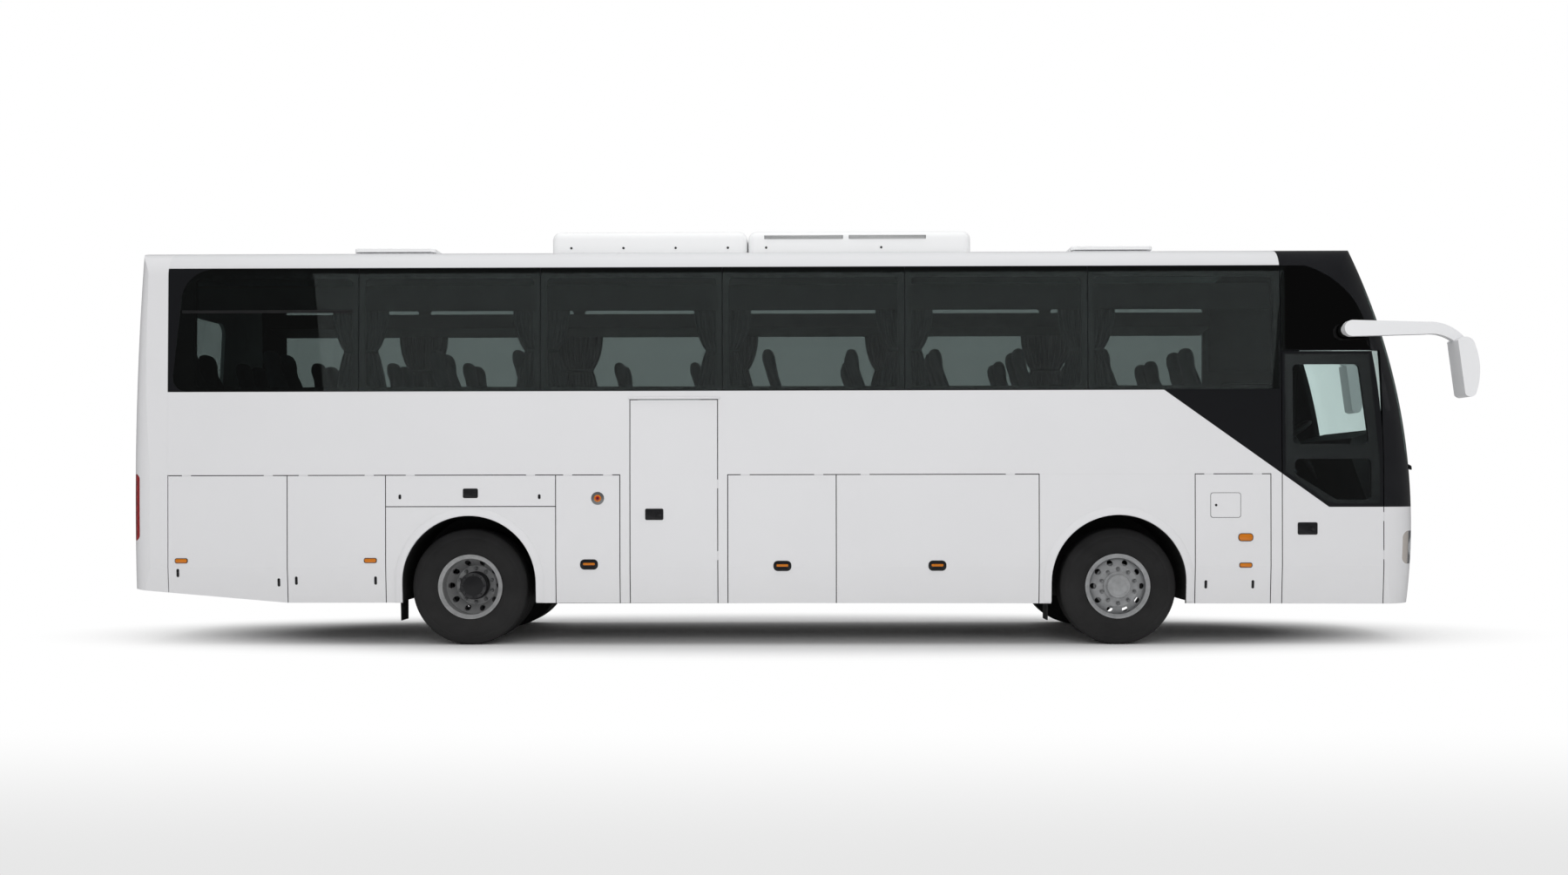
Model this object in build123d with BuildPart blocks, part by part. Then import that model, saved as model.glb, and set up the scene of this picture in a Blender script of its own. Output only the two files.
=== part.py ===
"""Two-axle coach, rear engined, with doors on the right.

Millimetres. +X is forward, +Y is the coach's left, +Z is up. The origin is on the
ground, midway along the length that includes the mirrors, on the centre line.
"""
from build123d import *
import math
import os

os.makedirs("parts", exist_ok=True)

# Whole coach
body_length = 11750.0
body_width = 2550.0
roof_height = 3630.0
mirror_reach = 270.0
wheelbase = 5800.0
front_overhang = 2830.0
wall = 45.0
glass = 8.0
seam = 0.3
panel_gap = 8.0

# Body form
nose_height = 1080.0
screen_radius = 5800.0
front_sweep = 15.0
front_corner = 400.0
rear_sweep = 5.0
rear_corner = 250.0
rear_height = 1270.0
rear_radius = 30000.0
cap_radius = 500.0
tail_radius = 220.0
crown_radius = 6000.0
shoulder_radius = 230.0
roof_lean = 38.0
lean_start = 1600.0
tuck_start = 700.0
tuck_slope = 0.075
skirt_front = 362.0
skirt_kink = 380.0
skirt_tail = 500.0
end_depth = 1400.0
deep = 700.0
beyond = 500.0

# Heights along the side
belt = 1522.0
flap_over_wheel = 1241.0
window_sill = 2279.0
window_head = 3377.0
cant_rail = 3385.0
front_door_top = 2614.0
middle_door_top = 2190.0
mask_top = 1230.0
lid_top = 1504.0

# Wheels, tyres and axles
tyre_radius = 520.0
tyre_width = 295.0
rim_radius = 286.0
rim_width = 240.0
rim_wall = 10.0
wheel_plane = 1098.0
twin_spacing = 320.0
disc_offset = 125.0
disc_thick = 12.0
dish_radius = 178.0
dish_root = 60.0
dish_wall = 18.0
rim_well = 34.0
rim_lip = 3.7
hub_radius = 130.0
arch_radius = 600.0
arch_height = 560.0
spindle_radius = 45.0
rear_spindle_radius = 60.0
drum_radius = 205.0
drum_wall = 14.0
hand_hole = 26.0
hand_hole_circle = 215.0
hand_holes = 10
kingpin_plane = 950.0
kingpin_radius = 22.0
run_clearance = 0.3

# Floors and frame
floor_top = 1556.0
floor_thick = 26.0
cab_floor_top = 1150.0
bay_floor = 410.0
sheet = 20.0
rail_plane = 430.0
rail_width = 70.0
rail_height = 130.0
low_rail_top = 890.0
cross_pitch = 1000.0
clear = 6.0
housing_inner = 545.0
housing_gap = 4.0
housing_thick = 16.0
housing_top = arch_height + arch_radius + housing_gap + housing_thick
housing_post = 900.0

# Hinge rods stand in the middle of a panel gap
rod_radius = panel_gap / 2 - run_clearance
rod_length = 80.0
cross_rod_plane = 240.0
lid_rod_plane = 110.0
hatch_rod = 22.0

# Places along the length
x_rear = -(body_length + mirror_reach) / 2
x_front = x_rear + body_length
x_tip = x_front + mirror_reach
front_axle_x = x_front - front_overhang
rear_axle_x = front_axle_x - wheelbase
half = body_width / 2
gap = panel_gap / 2

door_front_edge = x_front - 487.0
door_rear_edge = door_front_edge - 890.0
post_front = door_rear_edge - panel_gap
quarter_edge = door_rear_edge - 16.0
rear_module = x_rear + 418.0
arch_rear_back = rear_axle_x - 746.0
arch_rear_front = rear_axle_x + 778.0
arch_front_back = front_axle_x - 708.0
arch_front_front = front_axle_x + 677.0
service_split = arch_rear_back - 883.0
filler_flap_width = 575.0
middle_post = 94.0
middle_door_width = 776.0
short_bay_width = 968.0
cab_post = 105.0
middle_door_rear = arch_rear_front + filler_flap_width + middle_post
middle_door_front = middle_door_rear + middle_door_width
bays_start = middle_door_front + middle_post
bays_split = bays_start + short_bay_width
service_front = door_rear_edge - cab_post

# Windows
pane_pitch = 1630.0
front_pane = 1708.0
pillar = 116.0
frame_top = 91.0
frame_bottom = 34.0
pane_edges = [quarter_edge, quarter_edge - front_pane]
while len(pane_edges) < 6:
    pane_edges.append(pane_edges[-1] - pane_pitch)
screen_half = 1130.0
screen_bottom = 1560.0
screen_top = 3290.0

RIGHT, LEFT = 1, -1


def save(part, name):
    part.label = name
    export_step(part, f"parts/{name}.step")


# Body form: a cross section along the whole length, with bowed and raked ends
def section_outline(inset):
    eave_y = half - roof_lean
    eave_z = roof_height - crown_radius + math.sqrt(crown_radius**2 - eave_y**2)
    low_y = half - tuck_slope * (tuck_start + deep)
    with BuildSketch() as section:
        with BuildLine():
            Polyline(
                (-eave_y, eave_z), (-half, lean_start), (-half, tuck_start), (-low_y, -deep),
                (low_y, -deep), (half, tuck_start), (half, lean_start), (eave_y, eave_z),
            )
            ThreePointArc((eave_y, eave_z), (0, roof_height), (-eave_y, eave_z))
        make_face()
        fillet(section.vertices().group_by(Axis.Y)[-1], radius=shoulder_radius)
        if inset:
            offset(amount=-inset, mode=Mode.REPLACE)
    return section.sketch


def end_outline(inset, rake, sweep, corner):
    """Plan of one end, measured out from the axis that its rake turns about."""
    side = half + 3 - inset
    radius = corner - inset
    turn = math.radians(sweep)
    bow_y = side - radius + radius * math.sin(turn)
    bow_x = rake - inset - bow_y * math.tan(turn) / 2
    start_x = bow_x - radius * math.cos(turn)
    mid_turn = (turn + math.pi / 2) / 2
    mid = (start_x + radius * math.cos(mid_turn), side - radius + radius * math.sin(mid_turn))
    with BuildSketch() as plan:
        with BuildLine():
            Bezier((bow_x, -bow_y), (bow_x + bow_y * math.tan(turn), 0), (bow_x, bow_y))
            ThreePointArc((bow_x, bow_y), mid, (start_x, side))
            Polyline((start_x, side), (rake - end_depth, side), (rake - end_depth, -side), (start_x, -side))
            ThreePointArc((start_x, -side), (mid[0], -mid[1]), (bow_x, -bow_y))
        make_face()
    return plan.sketch


def end_cutter(inset, tip, way, height, rake, sweep, corner, low, high):
    """All that lies beyond one end: the plan's outside turned about a level axis, so the rake is an arc."""
    origin = (tip - way * rake, 0, height)
    start = math.radians(low)
    plane = Plane(origin, x_dir=(way * math.cos(start), 0, math.sin(start)),
                  z_dir=(-way * math.sin(start), 0, math.cos(start)))
    with BuildPart() as end:
        with BuildSketch(plane):
            with Locations((rake, 0)):
                Rectangle(end_depth, 1.5 * body_width)
            add(end_outline(inset, rake, sweep, corner), mode=Mode.SUBTRACT)
        revolve(axis=Axis(origin, (0, -way, 0)), revolution_arc=high - low)
    return end.part


def side_outline(inset):
    """Roof line with the rounded cap and tail, clear of the raked ends elsewhere."""
    centre = x_front - screen_radius
    reach = screen_radius + 12
    top_front = centre + math.sqrt(reach**2 - (roof_height + 1 - nose_height) ** 2)
    low_front = centre + math.sqrt(reach**2 - (nose_height + deep) ** 2)
    centre = x_rear + rear_radius
    reach_rear = rear_radius + 12
    top_rear = centre - math.sqrt(reach_rear**2 - (roof_height + 1 - rear_height) ** 2)
    low_rear = centre - math.sqrt(reach_rear**2 - (rear_height + deep) ** 2)
    with BuildSketch() as side:
        with BuildLine():
            Line((low_rear, -deep), (low_front, -deep))
            ThreePointArc((low_front, -deep), (x_front + 12, nose_height), (top_front, roof_height + 1))
            Line((top_front, roof_height + 1), (top_rear, roof_height + 1))
            ThreePointArc((top_rear, roof_height + 1), (x_rear - 12, rear_height), (low_rear, -deep))
        make_face()
        fillet(side.vertices().group_by(Axis.Y)[-1].sort_by(Axis.X)[-1], radius=cap_radius)
        fillet(side.vertices().group_by(Axis.Y)[-1].sort_by(Axis.X)[0], radius=tail_radius)
        if inset:
            offset(amount=-inset, mode=Mode.REPLACE)
    return side.sketch


def coach_form(inset):
    """The closed coach body drawn in by inset, reaching far below the skirt."""
    with BuildPart() as form:
        with BuildSketch(Plane.YZ.offset(-body_length)):
            add(section_outline(inset))
        extrude(amount=2 * body_length)
        with BuildSketch(Plane.XZ.offset(-body_width)):
            add(side_outline(inset))
        extrude(amount=2 * body_width, mode=Mode.INTERSECT)
        add(end_cutter(inset, x_front, 1, nose_height, screen_radius, front_sweep, front_corner, -22, 40),
            mode=Mode.SUBTRACT)
        add(end_cutter(inset, x_rear, -1, rear_height, rear_radius, rear_sweep, rear_corner, -5, 6),
            mode=Mode.SUBTRACT)
    return form.part


def between(inset_out, inset_in):
    """The layer of the body between two insets, cut along the skirt's lower edge."""
    with BuildPart() as layer:
        add(coach_form(inset_out))
        add(coach_form(inset_in), mode=Mode.SUBTRACT)
        with BuildSketch(Plane.XZ.offset(-body_width)):
            with BuildLine():
                Polyline(
                    (x_rear - beyond, skirt_tail + 40), (x_rear + 120, skirt_tail),
                    (service_split, skirt_kink), (arch_rear_back, skirt_kink),
                    (x_front + beyond, skirt_front), (x_front + beyond, -2 * deep),
                    (x_rear - beyond, -2 * deep), close=True,
                )
            make_face()
        extrude(amount=2 * body_width, mode=Mode.SUBTRACT)
    return layer.part


shell = between(0, wall)
glass_layer = between(0, glass)
rebate = between(-5, glass + seam)
inside = coach_form(wall + seam)
inside_clear = coach_form(wall + clear)


def side_cut(source, outline, side):
    """The part of a layer behind an outline drawn on one long side."""
    with BuildPart() as piece:
        add(source)
        with BuildSketch(Plane.XZ):
            add(outline)
        extrude(amount=side * body_width, mode=Mode.INTERSECT)
    return piece.part


def end_cut(source, outline, x_low, x_high):
    """The part of a layer in front of or behind an outline drawn across the coach."""
    with BuildPart() as piece:
        add(source)
        with BuildSketch(Plane.YZ.offset(x_low)):
            add(outline)
        extrude(amount=x_high - x_low, mode=Mode.INTERSECT)
    return piece.part


def rectangle(x_low, x_high, z_low, z_high, corner=0.0):
    """A rectangle from its edges, with an optional corner radius."""
    with BuildSketch() as box:
        with Locations(((x_low + x_high) / 2, (z_low + z_high) / 2)):
            if corner:
                RectangleRounded(x_high - x_low, z_high - z_low, corner)
            else:
                Rectangle(x_high - x_low, z_high - z_low)
    return box.sketch


def block(x_low, x_high, y_low, y_high, z_low, z_high):
    """A box from its edges, for the builder that calls it."""
    with Locations(((x_low + x_high) / 2, (y_low + y_high) / 2, (z_low + z_high) / 2)):
        Box(x_high - x_low, y_high - y_low, z_high - z_low)


def polygon(*points):
    with BuildSketch() as shape:
        with BuildLine():
            Polyline(*points, close=True)
        make_face()
    return shape.sketch


# Outlines on the long side
def front_door_outline(grow):
    """Door leaf: straight below, following the screen pillar above."""
    with BuildSketch() as leaf:
        with BuildLine():
            Polyline(
                (door_front_edge - 90, front_door_top), (door_rear_edge, front_door_top),
                (door_rear_edge, -deep), (door_front_edge, -deep), (door_front_edge, lean_start),
            )
            ThreePointArc(
                (door_front_edge, lean_start), (door_front_edge - 24, 2130), (door_front_edge - 90, front_door_top)
            )
        make_face()
        if grow:
            offset(amount=grow, kind=Kind.INTERSECTION, mode=Mode.REPLACE)
    return leaf.sketch


def door_pane_outline():
    """The black glazed part of the front door, above the diagonal paint line."""
    inset = 26
    return polygon(
        (door_rear_edge + inset, front_door_top - inset), (door_rear_edge + inset, belt + 20),
        (door_rear_edge + 390, mask_top + 45), (door_rear_edge + 480, mask_top + inset),
        (door_front_edge - inset, mask_top + inset), (door_front_edge - inset, lean_start),
        (door_front_edge - 120, front_door_top - inset),
    )


def door_window_outlines():
    """Two clear lights of the front door."""
    with BuildSketch() as lights:
        add(polygon(
            (door_rear_edge + 95, 2498), (door_rear_edge + 680, 2498),
            (door_rear_edge + 770, 1787), (door_rear_edge + 95, 1787),
        ))
        add(polygon(
            (door_rear_edge + 110, 1654), (door_rear_edge + 785, 1654),
            (door_rear_edge + 785, 1290), (door_rear_edge + 480, 1290), (door_rear_edge + 110, 1520),
        ))
        fillet(lights.vertices(), radius=45)
    return lights.sketch


def window_band():
    """The flush glass band along one side, with its raked rear end."""
    with BuildSketch() as band:
        add(polygon(
            (x_rear + 445, window_sill), (quarter_edge, window_sill),
            (quarter_edge, window_head), (x_rear + 560, window_head),
        ))
        fillet(band.vertices().group_by(Axis.Y)[0].sort_by(Axis.X)[0], radius=120)
        fillet(band.vertices().group_by(Axis.Y)[-1].sort_by(Axis.X)[0], radius=300)
    return band.sketch


def window_apertures():
    """Clear openings between the pillars behind the glass band."""
    bays = list(zip(pane_edges, pane_edges[1:])) + [(pane_edges[-1], x_rear + 660 - pillar / 2)]
    with BuildSketch() as holes:
        for front, rear in bays:
            add(rectangle(
                rear + pillar / 2, front - pillar / 2,
                window_sill + frame_bottom, window_head - frame_top, 40,
            ))
    return holes.sketch


def pane_outlines():
    """One flush pane for each bay of the band."""
    with BuildSketch() as panes:
        add(window_band())
        for edge in pane_edges:
            add(rectangle(edge - gap, edge + gap, window_sill - 10, window_head + 10), mode=Mode.SUBTRACT)
    return panes.sketch


def quarter_outline(grow):
    """The black panel above the front door, rounded along the cap."""
    with BuildSketch() as panel:
        low, high = front_door_top + 2 * panel_gap, window_head
        with BuildLine():
            Polyline((quarter_edge + 220, high), (quarter_edge + gap, high), (quarter_edge + gap, low),
                     (door_front_edge - 105, low))
            ThreePointArc((door_front_edge - 105, low), (door_front_edge - 325, 3160), (quarter_edge + 220, high))
        make_face()
        if grow:
            offset(amount=grow, kind=Kind.INTERSECTION, mode=Mode.REPLACE)
    return panel.sketch


def driver_aperture():
    return rectangle(door_rear_edge + 95, door_front_edge - 130, 1787, 2498, 60)


def driver_pane():
    return rectangle(door_rear_edge + 26, door_front_edge - 40, 1700, front_door_top - 26, 80)


def screen_outline(grow):
    return rectangle(-screen_half - grow, screen_half + grow, screen_bottom - grow, screen_top + grow, 150)


def rear_window(grow):
    return rectangle(-950 - grow, 950 + grow, 2400 - grow, 3150 + grow, 120)


def lid_outline(grow):
    return rectangle(-860 - grow, 860 + grow, 640 - grow, lid_top + grow)


def headlamp_outline(side, grow):
    return rectangle(*sorted((-side * (760 - grow), -side * (1205 + grow))), 715 - grow, 1010 + grow, 60)


def tail_lamp_outline(side, grow):
    return rectangle(*sorted((-side * (1020 - grow), -side * (1228 + grow))), 940 - grow, 1538 + grow, 50)


def arch_outline(axle_x, radius):
    with BuildSketch() as arch:
        with Locations((axle_x, arch_height)):
            Circle(radius)
        with Locations((axle_x, 0)):
            Rectangle(2 * radius, 2 * arch_height)
    return arch.sketch


# Panels that hang from the belt: name, rear edge, front edge, side
flaps = [
    ("rear_service_flap_right", rear_module, service_split, RIGHT),
    ("mid_service_flap_right", service_split, arch_rear_back, RIGHT),
    ("wheel_flap_right", arch_rear_back, arch_rear_front, RIGHT),
    ("filler_flap_right", arch_rear_front, arch_rear_front + filler_flap_width, RIGHT),
    ("short_luggage_flap_right", bays_start, bays_split, RIGHT),
    ("long_luggage_flap_right", bays_split, arch_front_back, RIGHT),
    ("front_service_flap_right", arch_front_front, service_front, RIGHT),
    ("radiator_door_left", rear_module, arch_rear_back, LEFT),
    ("rear_luggage_flap_left", arch_rear_front, bays_start, LEFT),
    ("short_luggage_flap_left", bays_start, bays_split, LEFT),
    ("long_luggage_flap_left", bays_split, arch_front_back, LEFT),
    ("front_service_flap_left", arch_front_front, service_front, LEFT),
]
filler_end = arch_rear_front + filler_flap_width

# The radiator door has rows of louvres: open slots, each under a sloping blade
louvre_rows = 12
louvre_columns = 3
louvre_pitch = 62.0
louvre_open = 26.0
louvre_length = 500.0
louvre_post = 60.0
louvre_fall = 34.0


def louvred(panel, x_centre, side):
    """The panel with columns of sloping slots that fall towards the outside."""
    outer, inner = -side * (half + wall), -side * (half - 2 * wall)
    first = x_centre - (louvre_columns * (louvre_length + louvre_post) - louvre_post) / 2
    with BuildPart() as door:
        add(panel)
        for column in range(louvre_columns):
            with BuildSketch(Plane.YZ.offset(first + column * (louvre_length + louvre_post))):
                for row in range(louvre_rows):
                    z = belt - (row + 3) * louvre_pitch
                    add(polygon((outer, z - louvre_fall), (inner, z + louvre_fall),
                                (inner, z + louvre_fall + louvre_open), (outer, z - louvre_fall + louvre_open)))
            extrude(amount=louvre_length, mode=Mode.SUBTRACT)
    return door.part


for name, x_low, x_high, side in flaps:
    bottom = flap_over_wheel + gap if name == "wheel_flap_right" else 0
    panel = side_cut(shell, rectangle(x_low + gap, x_high - gap, bottom, belt - gap), side)
    if name == "radiator_door_left":
        panel = louvred(panel, (x_low + x_high) / 2, side)
    save(panel, name)


def belt_rods(side):
    """Hinge rods in the gap above each flap, with the web that carries them."""
    y = -side * half
    with BuildPart() as rods:
        for name, x_low, x_high, flap_side in flaps:
            if flap_side == side:
                margin = 0.12 * (x_high - x_low)
                for start in (x_low + margin, x_high - margin - rod_length):
                    with BuildSketch(Plane.YZ.offset(start)):
                        with Locations((y, belt)):
                            Circle(rod_radius)
                        with Locations((y + side * 2, belt + gap)):
                            Rectangle(rod_radius, panel_gap)
                    extrude(amount=rod_length)
    return rods.part


def door_rods(x, heights):
    """Upright hinge rods in the gap in front of a right-hand door."""
    with BuildPart() as rods:
        for z in heights:
            with BuildSketch(Plane.XY.offset(z)):
                with Locations((x, -half)):
                    Circle(rod_radius)
                with Locations((x + gap, -half + 3)):
                    Rectangle(panel_gap, rod_radius)
            extrude(amount=rod_length)
    return rods.part


def cross_rods(x, z, web_x, web_z, spread):
    """Level hinge rods across the coach, each with a web towards web_x, web_z."""
    with BuildPart() as rods:
        for y in (-spread, spread):
            with BuildSketch(Plane.XZ.offset(-y - rod_length / 2)):
                with Locations((x, z)):
                    Circle(rod_radius)
                with Locations((x + web_x / 2, z + web_z / 2)):
                    Rectangle(abs(web_x) + rod_radius, abs(web_z) + rod_radius)
            extrude(amount=rod_length)
    return rods.part


# Side walls
for side, name in ((RIGHT, "side_wall_right"), (LEFT, "side_wall_left")):
    with BuildSketch() as outline:
        wall_front = post_front if side == RIGHT else door_front_edge
        add(rectangle(rear_module - gap + seam, wall_front, belt + gap, cant_rail - seam))
        add(rectangle(arch_rear_back + gap, arch_rear_front - gap, belt + seam, belt + 50))
        add(rectangle(arch_front_back + gap, arch_front_front - gap, belt + seam, belt + 50))
        add(rectangle(service_front + gap, wall_front, 0, belt + 50))
        if side == RIGHT:
            add(rectangle(arch_rear_back + gap, arch_rear_front - gap, belt, belt + gap), mode=Mode.SUBTRACT)
            add(rectangle(filler_end + gap, middle_door_rear - panel_gap, 0, belt + 50))
            add(rectangle(middle_door_front + panel_gap, bays_start - gap, 0, belt + 50))
            add(rectangle(middle_door_rear - panel_gap, middle_door_front + panel_gap, 0,
                          middle_door_top + panel_gap), mode=Mode.SUBTRACT)
        else:
            add(rectangle(quarter_edge + seam, door_front_edge + 50, front_door_top + panel_gap, cant_rail + 50),
                mode=Mode.SUBTRACT)
            add(driver_aperture(), mode=Mode.SUBTRACT)
        add(window_apertures(), mode=Mode.SUBTRACT)
        if side == RIGHT:
            add(rectangle(quarter_edge + seam, post_front + 50, front_door_top + panel_gap, cant_rail + 50),
                mode=Mode.SUBTRACT)
    with BuildPart() as side_wall:
        add(side_cut(shell, outline.sketch, side))
        add(side_cut(rebate, window_band(), side), mode=Mode.SUBTRACT)
        if side == LEFT:
            add(side_cut(rebate, driver_pane(), side), mode=Mode.SUBTRACT)
        add(belt_rods(side))
        if side == RIGHT:
            add(door_rods(middle_door_front + gap, (760, 1400)))
    save(side_wall.part, name)

# Fixed panels round the wheel arches: rear edge, front edge, top, axle, side
arch_table = [
    (arch_rear_back, arch_rear_front, flap_over_wheel - gap, rear_axle_x, RIGHT),
    (arch_rear_back, arch_rear_front, belt, rear_axle_x, LEFT),
    (arch_front_back, arch_front_front, belt, front_axle_x, RIGHT),
    (arch_front_back, arch_front_front, belt, front_axle_x, LEFT),
]
with BuildPart() as arch_panels:
    for x_low, x_high, top, axle_x, side in arch_table:
        with BuildSketch() as outline:
            add(rectangle(x_low + gap, x_high - gap, 0, top))
            add(arch_outline(axle_x, arch_radius), mode=Mode.SUBTRACT)
        add(side_cut(shell, outline.sketch, side))
save(arch_panels.part, "arch_panels")

# Roof with two hatch openings, each with its curb: rear edge, front edge
hatch_half = 360.0
hatch_table = [("rear_roof_hatch", x_rear + 1860), ("front_roof_hatch", door_rear_edge - 1700)]
curb = 30.0
curb_top = 3652.0
curb_drop = 12.0
with BuildPart() as roof:
    add(shell)
    with BuildSketch(Plane.XZ.offset(-body_width)):
        add(rectangle(rear_module - gap + seam, quarter_edge, cant_rail, roof_height + beyond))
    extrude(amount=2 * body_width, mode=Mode.INTERSECT)
    for name, x_low in hatch_table:
        block(x_low, x_low + 2 * hatch_half, -hatch_half, hatch_half, roof_height - 40, curb_top)
        with Locations((x_low + hatch_half, 0, roof_height)):
            Box(2 * (hatch_half - curb), 2 * (hatch_half - curb), 400, mode=Mode.SUBTRACT)
        add(cross_rods(x_low - hatch_rod, curb_top, hatch_rod + 5, -curb_drop, cross_rod_plane))
save(roof.part, "roof_panel")

for name, x_low in hatch_table:
    with BuildPart() as hatch:
        block(x_low - hatch_rod + gap, x_low + 2 * hatch_half + curb, -hatch_half - curb, hatch_half + curb,
              curb_top + clear, curb_top + 42)
        fillet(hatch.edges().filter_by(Axis.Z), radius=50)
        fillet(hatch.faces().sort_by(Axis.Z)[-1].edges(), radius=12)
        for way in (-1, 1):
            for near in (-1, 1):
                y = way * cross_rod_plane + near * (rod_length / 2 + seam + 15)
                block(x_low - hatch_rod - gap, x_low - 3, y - 15, y + 15, curb_top - gap, curb_top + 20)
    save(hatch.part, name)

# Front: white mask below with its air slots, black surround round the screen and along the cap
grille_rows = 4
grille_pitch = 46.0
grille_open = 24.0
grille_low = 520.0
grille_half = 560.0
with BuildPart() as front_panel:
    add(shell)
    with BuildSketch(Plane.XZ.offset(-body_width)):
        add(rectangle(door_front_edge + seam, x_front + beyond, 0, mask_top - seam))
    extrude(amount=2 * body_width, mode=Mode.INTERSECT)
    with BuildSketch(Plane.XZ):
        add(rectangle(door_front_edge - 50, door_front_edge + panel_gap, 0, mask_top + 50))
    extrude(amount=body_width, mode=Mode.SUBTRACT)
    for side in (RIGHT, LEFT):
        with BuildSketch(Plane.YZ.offset(door_front_edge)):
            add(headlamp_outline(side, 0))
        extrude(amount=beyond * 2, mode=Mode.SUBTRACT)
    with BuildSketch(Plane.YZ.offset(door_front_edge)):
        for row in range(grille_rows):
            z = grille_low + row * grille_pitch
            add(rectangle(-grille_half, grille_half, z, z + grille_open, grille_open / 3))
    extrude(amount=beyond * 2, mode=Mode.SUBTRACT)
    add(door_rods(door_front_edge + gap, (760, 1100)))
save(front_panel.part, "front_panel")

with BuildPart() as surround:
    add(shell)
    with BuildSketch(Plane.XZ.offset(-body_width)):
        add(rectangle(door_front_edge + seam, x_front + beyond, mask_top, roof_height + beyond))
        add(rectangle(quarter_edge + seam, x_front + beyond, front_door_top + panel_gap, roof_height + beyond))
    extrude(amount=2 * body_width, mode=Mode.INTERSECT)
    with BuildSketch(Plane.XZ):
        add(front_door_outline(panel_gap))
    extrude(amount=body_width, mode=Mode.SUBTRACT)
    with BuildSketch(Plane.YZ.offset(door_front_edge - 600)):
        add(screen_outline(-30))
    extrude(amount=beyond * 3, mode=Mode.SUBTRACT)
    add(end_cut(rebate, screen_outline(4), door_front_edge - 400, x_front + beyond), mode=Mode.SUBTRACT)
    for side in (RIGHT, LEFT):
        add(side_cut(rebate, quarter_outline(4), side), mode=Mode.SUBTRACT)
save(surround.part, "screen_surround")
save(end_cut(glass_layer, screen_outline(0), door_front_edge - 400, x_front + beyond), "windscreen")

# Rear: panel with the window, lid and lamp openings
with BuildPart() as rear_panel:
    add(shell)
    with BuildSketch(Plane.XZ.offset(-body_width)):
        add(rectangle(x_rear - beyond, rear_module - gap, 0, roof_height + beyond))
    extrude(amount=2 * body_width, mode=Mode.INTERSECT)
    with BuildSketch(Plane.YZ.offset(x_rear - beyond)):
        add(rear_window(-40))
        add(lid_outline(panel_gap))
        for side in (RIGHT, LEFT):
            add(tail_lamp_outline(side, 0))
    extrude(amount=beyond + 330, mode=Mode.SUBTRACT)
    add(end_cut(rebate, rear_window(4), x_rear - beyond, x_rear + 300), mode=Mode.SUBTRACT)
    add(cross_rods(x_rear, lid_top + gap, 30, gap + 6, lid_rod_plane))
save(rear_panel.part, "rear_panel")
save(end_cut(shell, lid_outline(0), x_rear - beyond, x_rear + 300), "engine_lid")

with BuildPart() as window_panes:
    for side in (RIGHT, LEFT):
        add(side_cut(glass_layer, pane_outlines(), side))
        add(side_cut(glass_layer, quarter_outline(0), side))
    add(side_cut(glass_layer, driver_pane(), LEFT))
    add(end_cut(glass_layer, rear_window(0), x_rear - beyond, x_rear + 300))
save(window_panes.part, "window_panes")

with BuildPart() as headlamps:
    for side in (RIGHT, LEFT):
        add(end_cut(shell, headlamp_outline(side, -seam), door_front_edge + panel_gap, x_front + beyond))
save(headlamps.part, "headlamps")
with BuildPart() as tail_lamps:
    for side in (RIGHT, LEFT):
        add(end_cut(shell, tail_lamp_outline(side, -seam), x_rear - beyond, x_rear + 330))
save(tail_lamps.part, "tail_lamps")

# Doors
with BuildPart() as front_door:
    add(side_cut(shell, front_door_outline(0), RIGHT))
    with BuildSketch(Plane.XZ):
        add(door_window_outlines())
    extrude(amount=body_width, mode=Mode.SUBTRACT)
    add(side_cut(rebate, door_pane_outline(), RIGHT), mode=Mode.SUBTRACT)
save(front_door.part, "front_door")
with BuildPart() as front_door_glass:
    with BuildSketch() as outline:
        add(door_pane_outline())
        offset(amount=-seam, mode=Mode.REPLACE)
    add(side_cut(glass_layer, outline.sketch, RIGHT))
save(front_door_glass.part, "front_door_glass")
save(side_cut(shell, rectangle(middle_door_rear, middle_door_front, 0, middle_door_top), RIGHT), "middle_door")

# Floors with both stairs: the saloon above the luggage bay, the cab lower down
stair_tread = 215.0
stair_margin = 20.0
stairs = [
    (middle_door_rear + stair_margin, middle_door_front - stair_margin, floor_top, 5),
    (door_rear_edge + stair_margin, door_front_edge - 60, cab_floor_top, 3),
]


def stair_outline(top, risers, thick):
    """Folded stair sheet across the coach, from the door sill up to a floor."""
    rise = (top - bay_floor) / risers
    upper = [(-half, bay_floor)]
    for step in range(risers):
        y = -half + wall + stair_tread * (step + 1)
        upper += [(y, bay_floor + rise * step), (y, bay_floor + rise * (step + 1))]
    lower = [(y + thick, z - thick) for y, z in reversed(upper)]
    return polygon(*upper, *lower)


with BuildPart() as floor:
    block(x_rear + 60, door_rear_edge, -half, half, floor_top - floor_thick, floor_top)
    block(door_rear_edge - sheet, door_rear_edge, -half, half, cab_floor_top - floor_thick, floor_top)
    block(door_rear_edge - sheet, x_front, -half, half, cab_floor_top - floor_thick, cab_floor_top)
    for x_low, x_high, top, risers in stairs:
        depth = wall + stair_tread * risers + sheet + seam
        with Locations(((x_low + x_high) / 2, -half + depth / 2, top)):
            Box(x_high - x_low + sheet + 2 * seam, depth, 3 * floor_thick, mode=Mode.SUBTRACT)
    add(inside_clear, mode=Mode.INTERSECT)
save(floor.part, "saloon_floor")

with BuildPart() as stair_wells:
    for x_low, x_high, top, risers in stairs:
        depth = wall + stair_tread * risers
        with BuildSketch(Plane.YZ.offset(x_low - sheet / 2)):
            add(stair_outline(top, risers, sheet))
        extrude(amount=x_high - x_low + sheet)
        for x in (x_low, x_high):
            block(x - sheet / 2, x + sheet / 2, -half, -half + depth + sheet, bay_floor - sheet, top)
    add(inside_clear, mode=Mode.INTERSECT)
save(stair_wells.part, "stairs")

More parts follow.
